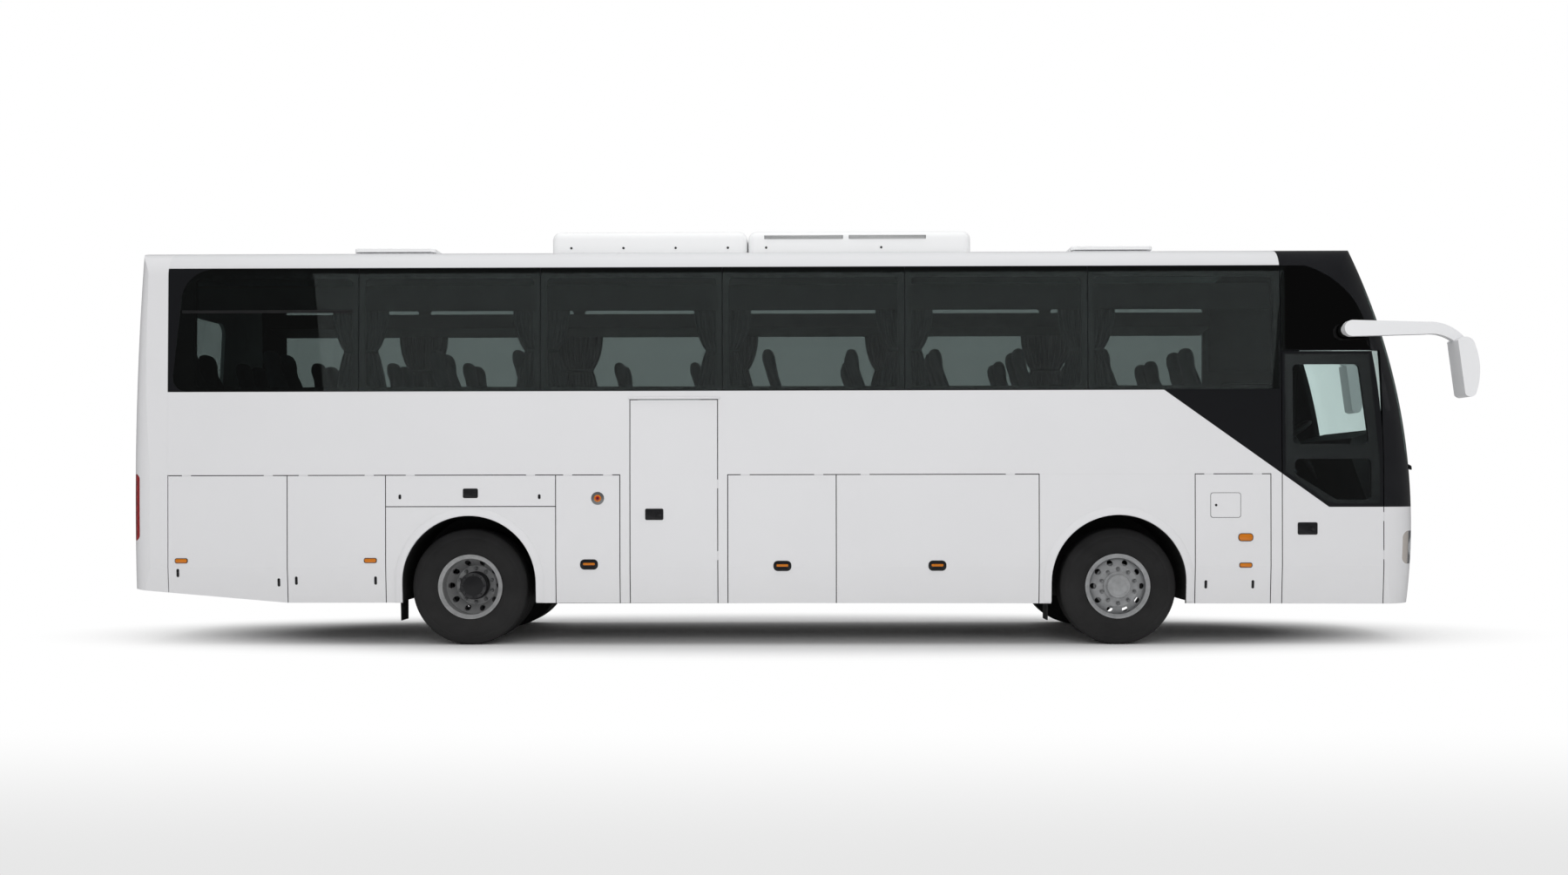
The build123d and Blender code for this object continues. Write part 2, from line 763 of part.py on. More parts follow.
# Luggage bay between the axles: pan and two bulkheads
bay_rear = arch_rear_front + 12
bay_front = arch_front_back - 12
upper_rail_low = floor_top - floor_thick - rail_height
with BuildPart() as bay:
    pan_top = bay_floor - sheet - seam
    block(bay_rear, bay_front, -half, half, pan_top - sheet, pan_top)
    for x in (bay_rear, bay_front - sheet):
        block(x, x + sheet, -half, half, pan_top, upper_rail_low - seam)
    add(inside_clear, mode=Mode.INTERSECT)
save(bay.part, "luggage_bay")

# Underframe: a ladder of upper rails and cross members right under the saloon floor
rear_end = x_rear + 250
front_end = door_rear_edge - 60
cross_half = 40.0
cross_low = upper_rail_low + cross_half
with BuildPart() as underframe:
    for side in (RIGHT, LEFT):
        y = -side * rail_plane
        runs = [(rear_end, front_end)]
        if side == RIGHT:
            runs = [(rear_end, middle_door_rear + stair_margin - sheet / 2 - seam),
                    (middle_door_front - stair_margin + sheet / 2 + seam, front_end)]
        for x_low, x_high in runs:
            block(x_low, x_high, y - rail_width / 2, y + rail_width / 2, upper_rail_low, floor_top - floor_thick)
    count = int((front_end - rear_end) // cross_pitch)
    places = [rear_end + 60 + index * (front_end - 120 - rear_end) / count for index in range(count + 1)]
    for x in places + [rear_axle_x, front_axle_x]:
        beside_stairs = middle_door_rear - 60 < x < middle_door_front + 60
        y_low = -half + wall + 5 * stair_tread + 2 * sheet if beside_stairs else -half
        block(x - cross_half, x + cross_half, y_low, half, cross_low, floor_top - floor_thick)
    add(inside, mode=Mode.INTERSECT)
save(underframe.part, "underframe")

# Lower side frames at both ends, with the tubes between them and the posts on the wheel housings
rear_posts = (rear_end + 60, arch_rear_back, arch_rear_front - 60)
front_posts = (arch_front_back + 60, arch_front_front)
cab_posts = (door_rear_edge + 10, x_front - 480)
tube_half = rail_plane - rail_width / 2 - seam


def side_frames(x_low, x_high, posts, short_posts):
    """Lower rail on both sides, with posts up to the upper rails and short ones up to the cab floor."""
    with BuildPart() as frames:
        for y in (-rail_plane, rail_plane):
            y_low, y_high = y - rail_width / 2, y + rail_width / 2
            block(x_low, x_high, y_low, y_high, low_rail_top - rail_height, low_rail_top)
            for x in posts:
                block(x - rail_width / 2, x + rail_width / 2, y_low, y_high, low_rail_top, upper_rail_low - seam)
            for x in short_posts:
                block(x - rail_width / 2, x + rail_width / 2, y_low, y_high, low_rail_top, cab_floor_top - floor_thick - seam)
    return frames.part


save(side_frames(arch_front_back, x_front - 420, front_posts, cab_posts), "front_subframes")

with BuildPart() as subframes:
    add(side_frames(rear_end, arch_rear_front, rear_posts, ()))
    for x in rear_posts + front_posts:
        block(x - 30, x + 30, -tube_half, tube_half, low_rail_top - rail_height + 20, low_rail_top - 20)
    block(x_front - 510, x_front - 450, -tube_half, tube_half, low_rail_top - rail_height + 20, low_rail_top - 20)
    for x in (rear_axle_x, front_axle_x):
        for y in (-housing_post, housing_post):
            block(x - cross_half, x + cross_half, y - cross_half, y + cross_half, housing_top + seam, cross_low - seam)
save(subframes.part, "subframes")

# Inner wheel housings, open below and inboard of the tyres round the axle
def housing(axle_x, side):
    """Half-round liner over one wheel, with an inboard wall that the axle passes under."""
    outer = arch_radius + housing_gap + housing_thick
    with BuildPart() as liner:
        with BuildSketch(Plane.XZ.offset(side * housing_inner)):
            add(arch_outline(axle_x, outer))
            add(arch_outline(axle_x, arch_radius + housing_gap), mode=Mode.SUBTRACT)
        extrude(amount=side * (half - housing_inner))
        with BuildSketch(Plane.XZ.offset(side * housing_inner)):
            add(arch_outline(axle_x, outer))
            add(rectangle(axle_x - axle_slot / 2, axle_x + axle_slot / 2, 0, axle_slot_top), mode=Mode.SUBTRACT)
        extrude(amount=side * housing_thick)
        with Locations((axle_x, 0, (skirt_kink + 2 * clear - deep) / 2)):
            Box(4 * arch_radius, 2 * body_width, skirt_kink + 2 * clear + deep, mode=Mode.SUBTRACT)
        add(inside, mode=Mode.INTERSECT)
    return liner.part


axle_slot = 520.0
axle_slot_top = 740.0
with BuildPart() as housings:
    for axle_x in (rear_axle_x, front_axle_x):
        for side in (RIGHT, LEFT):
            add(housing(axle_x, side))
save(housings.part, "wheel_housings")

# Tyre section, outwards from the bead: radius, share of the width either side
tyre_section = [
    (rim_radius + rim_lip + run_clearance, 0.39),
    (rim_radius + 70, 0.5),
    (tyre_radius - 90, 0.5),
    (tyre_radius - 22, 0.43),
    (tyre_radius, 0.34),
]


def tyre(y_centre):
    """Tyre on a rim, its tread face flat and its shoulders sloped."""
    with BuildPart() as ring:
        with BuildSketch(Plane.XY):
            half_points = [(radius, share * tyre_width) for radius, share in tyre_section]
            points = half_points + [(radius, -y) for radius, y in reversed(half_points)]
            add(polygon(*[(radius, y + y_centre) for radius, y in points]))
        revolve(axis=Axis.Y)
    return ring.part


def rim(y_centre, face_y, way):
    """Rim barrel with two flanges and a dished disc whose mounting face lies at face_y."""
    y_low, y_high = y_centre - rim_width / 2, y_centre + rim_width / 2
    well = rim_radius - rim_well
    lip = rim_radius + rim_lip
    root_y = y_centre + way * dish_root
    with BuildPart() as wheel:
        with BuildSketch(Plane.XY):
            add(rectangle(well, well + rim_wall, y_low + 2 * rim_wall, y_high - 2 * rim_wall))
            for y, inwards in ((y_low, rim_wall), (y_high, -rim_wall)):
                add(polygon(
                    (well, y + 2 * inwards), (well + rim_wall, y + 3 * inwards), (lip, y + inwards),
                    (lip, y), (rim_radius - rim_wall, y), (well, y + inwards),
                ))
            add(polygon(
                (hub_radius - rim_wall, face_y), (dish_radius, face_y), (well + rim_wall / 2, root_y),
                (well + rim_wall / 2, root_y - way * dish_wall), (dish_radius, face_y - way * disc_thick),
                (hub_radius - rim_wall, face_y - way * disc_thick),
            ))
        revolve(axis=Axis.Y)
        with BuildSketch(Plane.XZ.offset(-y_centre - rim_width)):
            with PolarLocations(hand_hole_circle, hand_holes):
                Circle(hand_hole)
        extrude(amount=2 * rim_width, mode=Mode.SUBTRACT)
    return wheel.part


# Hub and drum sections, out from the axle: inner radius, outer radius, inner y, outer y
front_face = wheel_plane + disc_offset
rear_face = wheel_plane - twin_spacing / 2
front_bore = spindle_radius + run_clearance
rear_bore = rear_spindle_radius + run_clearance
front_hub = [
    (front_bore, hub_radius, front_face - 102, front_face + 12),
    (0, 100, front_face + 12, front_face + 48),
    (drum_radius - drum_wall, drum_radius, front_face - 200, front_face - 62),
    (hub_radius - drum_wall, drum_radius, front_face - 62 - drum_wall, front_face - 62),
]
rear_hub = [
    (rear_bore, hub_radius, rear_face - 158, rear_face + 20),
    (0, 118, rear_face + 20, rear_face + 150),
    (drum_radius - drum_wall, drum_radius, rear_face - 270, rear_face - 70),
    (hub_radius - drum_wall, drum_radius, rear_face - 70 - drum_wall, rear_face - 70),
]


def hub(sections):
    """Stepped hub with its brake drum, turned about the axle."""
    with BuildPart() as turned:
        with BuildSketch(Plane.XY):
            for inner, outer, y_low, y_high in sections:
                add(rectangle(inner, outer, y_low, y_high))
        revolve(axis=Axis.Y)
    return turned.part


wheels = [
    ("front_left", front_axle_x, LEFT), ("front_right", front_axle_x, RIGHT),
    ("rear_left", rear_axle_x, LEFT), ("rear_right", rear_axle_x, RIGHT),
]
for name, axle_x, side in wheels:
    with BuildPart() as wheel:
        if axle_x == front_axle_x:
            add(hub(front_hub))
            add(rim(wheel_plane, front_face, 1))
        else:
            add(hub(rear_hub))
            add(rim(wheel_plane, rear_face, -1))
            add(rim(wheel_plane - twin_spacing, rear_face, 1))
    with BuildPart() as rubber:
        add(tyre(wheel_plane))
        if axle_x == rear_axle_x:
            add(tyre(wheel_plane - twin_spacing))
    for piece, word in ((wheel.part, "wheel"), (rubber.part, "tyre")):
        placed = piece if side == LEFT else piece.mirror(Plane.XZ)
        save(placed.moved(Location((axle_x, 0, tyre_radius))), f"{word}_{name}")

# Steering knuckles: two lugs on the kingpin, a back plate and the spindle
lug = 34.0
eye_half = 60.0
for side, word in ((LEFT, "left"), (RIGHT, "right")):
    with BuildPart() as knuckle:
        for z in (eye_half + run_clearance + lug / 2, -eye_half - run_clearance - lug / 2):
            with Locations((0, kingpin_plane, z)):
                Cylinder(52, lug)
                with Locations((0, 52, 0)):
                    Box(90, 60, lug)
        with Locations((0, kingpin_plane, 0)):
            Cylinder(kingpin_radius, 2 * eye_half + 2 * lug)
        with Locations((0, kingpin_plane + 76, 0)):
            Box(110, 24, 2 * eye_half + 2 * lug)
        with BuildSketch(Plane.XZ.offset(-kingpin_plane - 64)):
            Circle(spindle_radius)
        extrude(amount=-(front_face - kingpin_plane - 64))
    placed = knuckle.part if side == LEFT else knuckle.part.mirror(Plane.XZ)
    save(placed.moved(Location((front_axle_x, 0, tyre_radius))), f"knuckle_{word}")

# Axles
pad_top = 590.0
spring_radius = 105.0
with BuildPart() as front_axle:
    with BuildSketch(Plane.YZ.offset(front_axle_x - 50)):
        end = kingpin_plane - 30
        add(polygon(
            (-end, tyre_radius - 50), (-620, 420), (-520, 400), (520, 400), (620, 420), (end, tyre_radius - 50),
            (end, tyre_radius + 50), (640, 510), (520, 490), (-520, 490), (-640, 510), (-end, tyre_radius + 50),
        ))
    extrude(amount=100)
    for y in (-kingpin_plane, kingpin_plane):
        with Locations((front_axle_x, y, tyre_radius)):
            Cylinder(50, 2 * eye_half)
            Cylinder(kingpin_radius + run_clearance, 2 * eye_half, mode=Mode.SUBTRACT)
    for y in (-rail_plane, rail_plane):
        block(front_axle_x - 340, front_axle_x + 340, y - 45, y + 45, 480, 530)
        for x in (front_axle_x - 240, front_axle_x + 240):
            with Locations((x, y, (530 + pad_top) / 2)):
                Cylinder(90, pad_top - 530)
save(front_axle.part, "front_axle")

with BuildPart() as rear_axle:
    with BuildSketch(Plane.XZ.offset(-(rear_face + 10))):
        with Locations((rear_axle_x, tyre_radius)):
            Circle(rear_spindle_radius)
    extrude(amount=2 * (rear_face + 10))
    with BuildSketch(Plane.XZ.offset(-600)):
        with Locations((rear_axle_x, tyre_radius)):
            Circle(85)
    extrude(amount=1200)
    with BuildSketch(Plane.XY.offset(tyre_radius)):
        with Locations((rear_axle_x, 0)):
            add(polygon((0, -230), (120, -190), (205, -90), (205, 90), (120, 190), (0, 230)))
    revolve(axis=Axis((rear_axle_x, 0, tyre_radius), (0, 1, 0)))
    for y in (-rail_plane, rail_plane):
        block(rear_axle_x - 420, rear_axle_x + 420, y - 45, y + 45, 480, 560)
        for x in (rear_axle_x - 330, rear_axle_x + 330):
            with Locations((x, y, (560 + pad_top) / 2)):
                Cylinder(90, pad_top - 560)
save(rear_axle.part, "rear_axle")

with BuildPart() as air_springs:
    top = low_rail_top - rail_height - seam
    for axle_x, spread in ((front_axle_x, 240), (rear_axle_x, 330)):
        for x in (axle_x - spread, axle_x + spread):
            for y in (-rail_plane, rail_plane):
                with Locations((x, y, (pad_top + seam + top) / 2)):
                    Cylinder(spring_radius, top - pad_top - seam)
    chamfer(air_springs.edges().filter_by(GeomType.CIRCLE), length=22)
save(air_springs.part, "air_springs")

with BuildPart() as mud_flaps:
    for axle_x in (rear_axle_x, front_axle_x):
        for y in (-1085, 1085):
            x = axle_x - arch_radius - 20 - seam
            block(x - 10, x, y - 130, y + 130, 215, 520)
    add(inside_clear, mode=Mode.INTERSECT)
save(mud_flaps.part, "mud_flaps")

# Engine block between the rear rails
with BuildPart() as engine:
    engine_half = rail_plane - rail_width / 2 - seam
    block(x_rear + 340 + seam, x_rear + 1620, -engine_half, engine_half, 560, 1340)
    fillet(engine.edges().filter_by(Axis.X), radius=60)
save(engine.part, "engine")

# Roof air conditioner in two covers, the front one with intake slots along its shoulders
pod_rear = door_rear_edge - 6570
pod_split = door_rear_edge - 4705
pod_front = door_rear_edge - 2720
pod_half = 860.0
pod_top = 3768.0
pod_corner = 105.0
pod_shoulder = 60.0
slot_length = 700.0
slot_height = 14.0
slot_depth = 34.0
slot_rows = 2
slot_shares = (0.27, 0.74)
with BuildPart() as air_conditioner:
    with BuildSketch(Plane.XZ.offset(-body_width)):
        add(rectangle(pod_rear, pod_front, roof_height - deep, pod_top, pod_corner))
        add(rectangle(pod_split - gap, pod_split + gap, roof_height - deep, pod_top + beyond), mode=Mode.SUBTRACT)
    extrude(amount=2 * body_width)
    with BuildSketch(Plane.YZ.offset(pod_rear)):
        add(rectangle(-pod_half, pod_half, roof_height - deep, pod_top, pod_shoulder))
    extrude(amount=pod_front - pod_rear, mode=Mode.INTERSECT)
    for side in (RIGHT, LEFT):
        with BuildSketch(Plane.XZ.offset(side * (pod_half - slot_depth))):
            for row in range(slot_rows):
                for share in slot_shares:
                    x = pod_split + share * (pod_front - pod_split)
                    z = pod_top - pod_shoulder - 2 * row * slot_height
                    add(rectangle(x - slot_length / 2, x + slot_length / 2, z, z + slot_height, slot_height / 3))
        extrude(amount=side * 2 * slot_depth, mode=Mode.SUBTRACT)
    add(coach_form(-seam), mode=Mode.SUBTRACT)
save(air_conditioner.part, "roof_air_conditioner")

# Mirrors: a curved arm along the cap, and a head hanging ahead of the screen
mirror_plane = 1330.0
arm_width = 76.0
head_width = 236.0
head_foot = 2190.0
arm_rear = door_front_edge - 384
with BuildPart() as mirrors:
    for side in (RIGHT, LEFT):
        with BuildSketch(Plane.XZ.offset(side * mirror_plane)):
            with BuildLine():
                Line((arm_rear + 76, 2732), (x_tip - 420, 2748))
                ThreePointArc((x_tip - 420, 2748), (x_tip - 260, 2728), (x_tip - 170, 2676))
                Line((x_tip - 170, 2676), (x_tip - 60, 2676))
                ThreePointArc((x_tip - 60, 2676), (x_tip - 190, 2800), (x_tip - 420, 2856))
                Line((x_tip - 420, 2856), (arm_rear + 76, 2874))
                ThreePointArc((arm_rear + 76, 2874), (arm_rear, 2803), (arm_rear + 76, 2732))
            make_face()
        extrude(amount=side * arm_width)
        with BuildSketch(Plane.XZ.offset(side * (mirror_plane - 60))):
            with BuildLine():
                Line((x_tip - 190, 2684), (x_tip - 128, head_foot + 26))
                ThreePointArc((x_tip - 128, head_foot + 26), (x_tip - 80, head_foot), (x_tip - 34, head_foot + 26))
                ThreePointArc((x_tip - 34, head_foot + 26), (x_tip, 2440), (x_tip - 40, 2640))
                ThreePointArc((x_tip - 40, 2640), (x_tip - 105, 2712), (x_tip - 190, 2684))
            make_face()
        extrude(amount=side * head_width)
        with BuildSketch(Plane.XZ.offset(side * 1200)):
            with Locations((arm_rear + 94, 2803)):
                SlotOverall(150, 104)
        extrude(amount=side * (mirror_plane - 1200 + 20))
    add(coach_form(-seam), mode=Mode.SUBTRACT)
save(mirrors.part, "mirrors")

# Seats
row_pitch = 760.0
seat_width = 430.0
pair_plane = 705.0


def seat_pair(x, y, floor_z, count):
    """One or two seats side by side on a pedestal, facing forward."""
    with BuildPart() as seats:
        with BuildSketch(Plane.XZ.offset(-y - count * (seat_width + 10) / 2 + 5)):
            add(polygon((x - 220, floor_z + 300), (x + 240, floor_z + 330), (x + 250, floor_z + 440),
                        (x - 120, floor_z + 420), (x - 300, floor_z + 1120), (x - 390, floor_z + 1110), (x - 340, floor_z + 800)))
        extrude(amount=count * (seat_width + 10) - 10)
        block(x - 180, x + 180, y - 60, y + 60, floor_z + seam, floor_z + 330)
    return seats.part


with BuildPart() as seats:
    row = 0
    while True:
        x = door_rear_edge - 420 - row * row_pitch
        if x < x_rear + 560:
            break
        add(seat_pair(x, pair_plane, floor_top, 2))
        if not middle_door_rear - 420 < x < middle_door_front + 420:
            add(seat_pair(x, -pair_plane, floor_top, 2))
        row += 1
save(seats.part, "passenger_seats")

driver_y = 620.0
save(seat_pair(door_rear_edge + 430, driver_y, cab_floor_top, 1), "driver_seat")

# Dashboard with the steering column, and the steering wheel on it
wheel_tilt = 32.0
wheel_centre = (x_front - 720, driver_y, 1950)
steer_plane = Plane(wheel_centre, x_dir=(math.cos(math.radians(wheel_tilt)), 0, math.sin(math.radians(wheel_tilt))),
                    z_dir=(-math.sin(math.radians(wheel_tilt)), 0, math.cos(math.radians(wheel_tilt))))
with BuildPart() as dashboard:
    with BuildSketch(Plane.XZ.offset(-half)):
        add(polygon((x_front - 330, cab_floor_top + seam), (x_front, cab_floor_top + seam), (x_front, 1900),
                    (x_front - 250, 1950), (x_front - 520, 1860), (x_front - 540, 1740), (x_front - 480, 1560)))
    extrude(amount=half + 560)
    with BuildSketch(steer_plane.offset(-30)):
        Circle(34)
    extrude(amount=-520)
    with BuildSketch(steer_plane.offset(-30)):
        Circle(14)
    extrude(amount=26)
    add(inside_clear, mode=Mode.INTERSECT)
save(dashboard.part, "dashboard")
with BuildPart() as steering_wheel:
    with BuildSketch(steer_plane.offset(-18)):
        Circle(48)
        Circle(14 + run_clearance, mode=Mode.SUBTRACT)
    extrude(amount=30)
    with BuildSketch(steer_plane.offset(-10)):
        for angle in (0, 90, 180, 270):
            with Locations(Location((0, 0, 0), (0, 0, 1), angle)):
                with Locations((130, 0)):
                    Rectangle(180, 30)
    extrude(amount=12)
    with BuildSketch(Plane(steer_plane.origin, x_dir=steer_plane.x_dir, z_dir=(0, -1, 0))):
        with Locations((222, 0)):
            Circle(16)
    revolve(axis=Axis(steer_plane.origin, steer_plane.z_dir))
save(steering_wheel.part, "steering_wheel")

# Luggage racks above the windows, and the curtains that hang from them
rack_low = 2985.0
with BuildPart() as racks:
    for side in (RIGHT, LEFT):
        with BuildSketch(Plane.YZ.offset(x_rear + 620)):
            add(polygon(*[(-side * y, z) for y, z in (
                (820, rack_low + 70), (half, rack_low), (half, 3230), (1100, 3230), (1100, rack_low + 60),
                (860, rack_low + 100), (850, rack_low + 190), (810, rack_low + 190))]))
        extrude(amount=door_rear_edge - 100 - x_rear - 620)
    add(inside, mode=Mode.INTERSECT)
save(racks.part, "luggage_racks")

curtain_width = 520.0
with BuildPart() as curtains:
    for edge in pane_edges[1:]:
        for y in (-1170, 1170):
            block(edge - curtain_width / 2, edge + curtain_width / 2, y - 18, y + 18, window_sill + 20, rack_low + 50)
    with BuildSketch(Plane.YZ.offset(x_rear)):
        for side in (RIGHT, LEFT):
            add(polygon(*[(-side * y, z) for y, z in ((700, 3300), (half, 3300), (half, rack_low - seam), (820, rack_low + 70 - seam))]))
    extrude(amount=body_length, mode=Mode.SUBTRACT)
save(curtains.part, "window_curtains")

# Wipers lie just off the screen
with BuildPart() as wipers:
    layer = between(-30, -12)
    for side in (RIGHT, LEFT):
        with BuildSketch(mode=Mode.PRIVATE) as blade:
            with Locations(Location((-side * 560, 1620), 6)):
                SlotOverall(860, 36)
            add(polygon((-side * 240, 1440), (-side * 200, 1440), (-side * 500, 1640), (-side * 540, 1640)))
        add(end_cut(layer, blade.sketch, x_front - 500, x_front + beyond))
        with BuildSketch(mode=Mode.PRIVATE) as boss:
            with Locations((-side * 220, 1440)):
                Circle(26)
        add(end_cut(between(-30, -seam), boss.sketch, x_front - 500, x_front + beyond))
save(wipers.part, "wipers")
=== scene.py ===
import bpy
import bmesh
import math
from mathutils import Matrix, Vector


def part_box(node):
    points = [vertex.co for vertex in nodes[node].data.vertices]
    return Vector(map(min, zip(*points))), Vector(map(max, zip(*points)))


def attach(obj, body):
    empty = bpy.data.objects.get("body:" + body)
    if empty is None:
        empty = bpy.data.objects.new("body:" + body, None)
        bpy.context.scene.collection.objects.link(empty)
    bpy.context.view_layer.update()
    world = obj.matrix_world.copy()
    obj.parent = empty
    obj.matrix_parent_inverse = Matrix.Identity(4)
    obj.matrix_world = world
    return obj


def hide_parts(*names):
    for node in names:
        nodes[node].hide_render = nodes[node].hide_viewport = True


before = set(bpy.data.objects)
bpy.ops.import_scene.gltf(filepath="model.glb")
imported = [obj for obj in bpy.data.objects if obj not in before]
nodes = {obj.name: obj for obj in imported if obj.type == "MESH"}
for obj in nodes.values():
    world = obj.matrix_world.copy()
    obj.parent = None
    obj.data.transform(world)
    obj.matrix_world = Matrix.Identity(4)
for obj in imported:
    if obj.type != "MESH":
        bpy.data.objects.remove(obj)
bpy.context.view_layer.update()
print("frame loaded:", len(nodes), "nodes")

# The photograph is 1800 x 1005; the lens looks square at the right side
photo = {
    "width": 1800,
    "height": 1005,
    "focalPixels": 1789.0,
    "place": (0.085, -15.175, 1.3675),
    "yaw": 0.0112,
    "roll": 0.0017,
    "horizon": 565.0,
    "sensor": 36.0,
}

camData = bpy.data.cameras.new("photoCamera")
camData.sensor_width = photo["sensor"]
camData.lens = photo["focalPixels"] / photo["width"] * photo["sensor"]
camData.shift_y = (photo["horizon"] - photo["height"] / 2) / photo["width"]
camData.clip_end = 400
camera = bpy.data.objects.new("photoCamera", camData)
camera.location = photo["place"]
camera.rotation_euler = (math.radians(90), photo["roll"], photo["yaw"])
bpy.context.scene.collection.objects.link(camera)
bpy.context.scene.camera = camera
print("camera ready")


skin = {"half": 1.275, "tuckStart": 0.7, "tuck": 0.075, "leanStart": 1.6, "lean": 0.020}
axles = {"front": 2.910, "rear": -2.890, "height": 0.520}


def sideHalf(z):  # half width of the body at a height
    return (skin["half"] - skin["tuck"] * max(0.0, skin["tuckStart"] - z)
            - skin["lean"] * max(0.0, z - skin["leanStart"]))


def onSide(u, v):  # where a pixel of the photograph lies on the right side
    away = photo["focalPixels"]
    forward = Vector((-math.sin(photo["yaw"]), math.cos(photo["yaw"]), 0))
    right = Vector((math.cos(photo["yaw"]), math.sin(photo["yaw"]), 0))
    ray = forward * away + right * (u - photo["width"] / 2) + Vector((0, 0, photo["horizon"] - v))
    place = Vector(photo["place"])
    depth = skin["half"]
    for step in range(3):
        point = place + ray * ((-depth - place.y) / ray.y)
        depth = sideHalf(point.z)
    return point


# Node groups shared by several materials

def newGroup(name, ins, outs):
    group = bpy.data.node_groups.new(name, "ShaderNodeTree")
    for label, kind, value in ins:
        socket = group.interface.new_socket(name=label, in_out="INPUT", socket_type=kind)
        if value is not None:
            socket.default_value = value
    for label, kind in outs:
        group.interface.new_socket(name=label, in_out="OUTPUT", socket_type=kind)
    return group, group.nodes.new("NodeGroupInput"), group.nodes.new("NodeGroupOutput")


def wire(tree, fromSocket, toSocket):
    tree.links.new(fromSocket, toSocket)


def mathNode(tree, operation, a, b=None, clamp=False):
    node = tree.nodes.new("ShaderNodeMath")
    node.operation = operation
    node.use_clamp = clamp
    for index, value in enumerate((a, b)):
        if value is None:
            continue
        if isinstance(value, (int, float)):
            node.inputs[index].default_value = value
        else:
            wire(tree, value, node.inputs[index])
    return node.outputs[0]


def times(tree, a, b, clamp=False):
    return mathNode(tree, "MULTIPLY", a, b, clamp)


def plus(tree, a, b, clamp=False):
    return mathNode(tree, "ADD", a, b, clamp)


def minus(tree, a, b, clamp=False):
    return mathNode(tree, "SUBTRACT", a, b, clamp)


def hypotenuse(tree, a, b):
    return mathNode(tree, "SQRT", plus(tree, times(tree, a, a), times(tree, b, b)))


def scaled(color, share):
    return tuple(value * share for value in color)


def mixColor(tree, factor, a, b):
    node = tree.nodes.new("ShaderNodeMix")
    node.data_type = "RGBA"
    for index, value in ((0, factor), (6, a), (7, b)):
        if isinstance(value, (int, float)):
            node.inputs[index].default_value = value
        elif isinstance(value, (tuple, list)):
            node.inputs[index].default_value = tuple(value) + (1.0,) * (4 - len(value))
        else:
            wire(tree, value, node.inputs[index])
    return node.outputs[2]


def mapRange(tree, value, fromLow, fromHigh, toLow=0.0, toHigh=1.0, smooth=False):
    node = tree.nodes.new("ShaderNodeMapRange")
    if smooth:
        node.interpolation_type = "SMOOTHSTEP"
    wire(tree, value, node.inputs[0])
    for index, number in zip((1, 2, 3, 4), (fromLow, fromHigh, toLow, toHigh)):
        node.inputs[index].default_value = number
    return node.outputs[0]


def objectPlace(tree):
    coords = tree.nodes.new("ShaderNodeTexCoord")
    split = tree.nodes.new("ShaderNodeSeparateXYZ")
    wire(tree, coords.outputs["Object"], split.inputs[0])
    return coords.outputs["Object"], split.outputs


def noiseNode(tree, place, scale, detail=3.0, rough=0.55, stretch=None):
    if stretch:
        mapping = tree.nodes.new("ShaderNodeMapping")
        mapping.inputs["Scale"].default_value = stretch
        wire(tree, place, mapping.inputs["Vector"])
        place = mapping.outputs[0]
    noise = tree.nodes.new("ShaderNodeTexNoise")
    noise.inputs["Scale"].default_value = scale
    noise.inputs["Detail"].default_value = detail
    noise.inputs["Roughness"].default_value = rough
    wire(tree, place, noise.inputs["Vector"])
    return noise.outputs[0]


def buildRoadDust():  # haze of dust that thickens towards the skirt
    group, ins, outs = newGroup(
        "roadDust",
        [("Color", "NodeSocketColor", (0.8, 0.8, 0.8, 1)), ("Dust", "NodeSocketColor", (0.34, 0.32, 0.29, 1)),
         ("Top", "NodeSocketFloat", 0.9), ("Amount", "NodeSocketFloat", 0.2),
         ("Roughness", "NodeSocketFloat", 0.3)],
        [("Color", "NodeSocketColor"), ("Roughness", "NodeSocketFloat")])
    place, axes = objectPlace(group)
    cloud = noiseNode(group, place, 3.2, 5.0, 0.62, (0.5, 0.5, 1.0))
    low = minus(group, ins.outputs["Top"], axes[2])
    fall = times(group, times(group, low, 1.6, True), ins.outputs["Amount"])
    mask = times(group, fall, mapRange(group, cloud, 0.3, 0.75, 0.35, 1.0), True)
    wire(group, mixColor(group, mask, ins.outputs["Color"], ins.outputs["Dust"]), outs.inputs["Color"])
    rough = plus(group, ins.outputs["Roughness"], times(group, mask, 0.5), True)
    wire(group, rough, outs.inputs["Roughness"])
    return group


def buildFineGrain():  # moulded or cast grain: a height and a slight shade
    group, ins, outs = newGroup(
        "fineGrain",
        [("Color", "NodeSocketColor", (0.1, 0.1, 0.1, 1)), ("Scale", "NodeSocketFloat", 400.0),
         ("Shade", "NodeSocketFloat", 0.25)],
        [("Color", "NodeSocketColor"), ("Height", "NodeSocketFloat")])
    place = objectPlace(group)[0]
    grain = group.nodes.new("ShaderNodeTexNoise")
    grain.inputs["Detail"].default_value = 4.0
    wire(group, place, grain.inputs["Vector"])
    wire(group, ins.outputs["Scale"], grain.inputs["Scale"])
    broad = mapRange(group, noiseNode(group, place, 5.0, 4.0), 0.35, 0.7)
    darker = mixColor(group, ins.outputs["Shade"], ins.outputs["Color"], (0.0, 0.0, 0.0))
    wire(group, mixColor(group, broad, ins.outputs["Color"], darker), outs.inputs["Color"])
    wire(group, grain.outputs[0], outs.inputs["Height"])
    return group


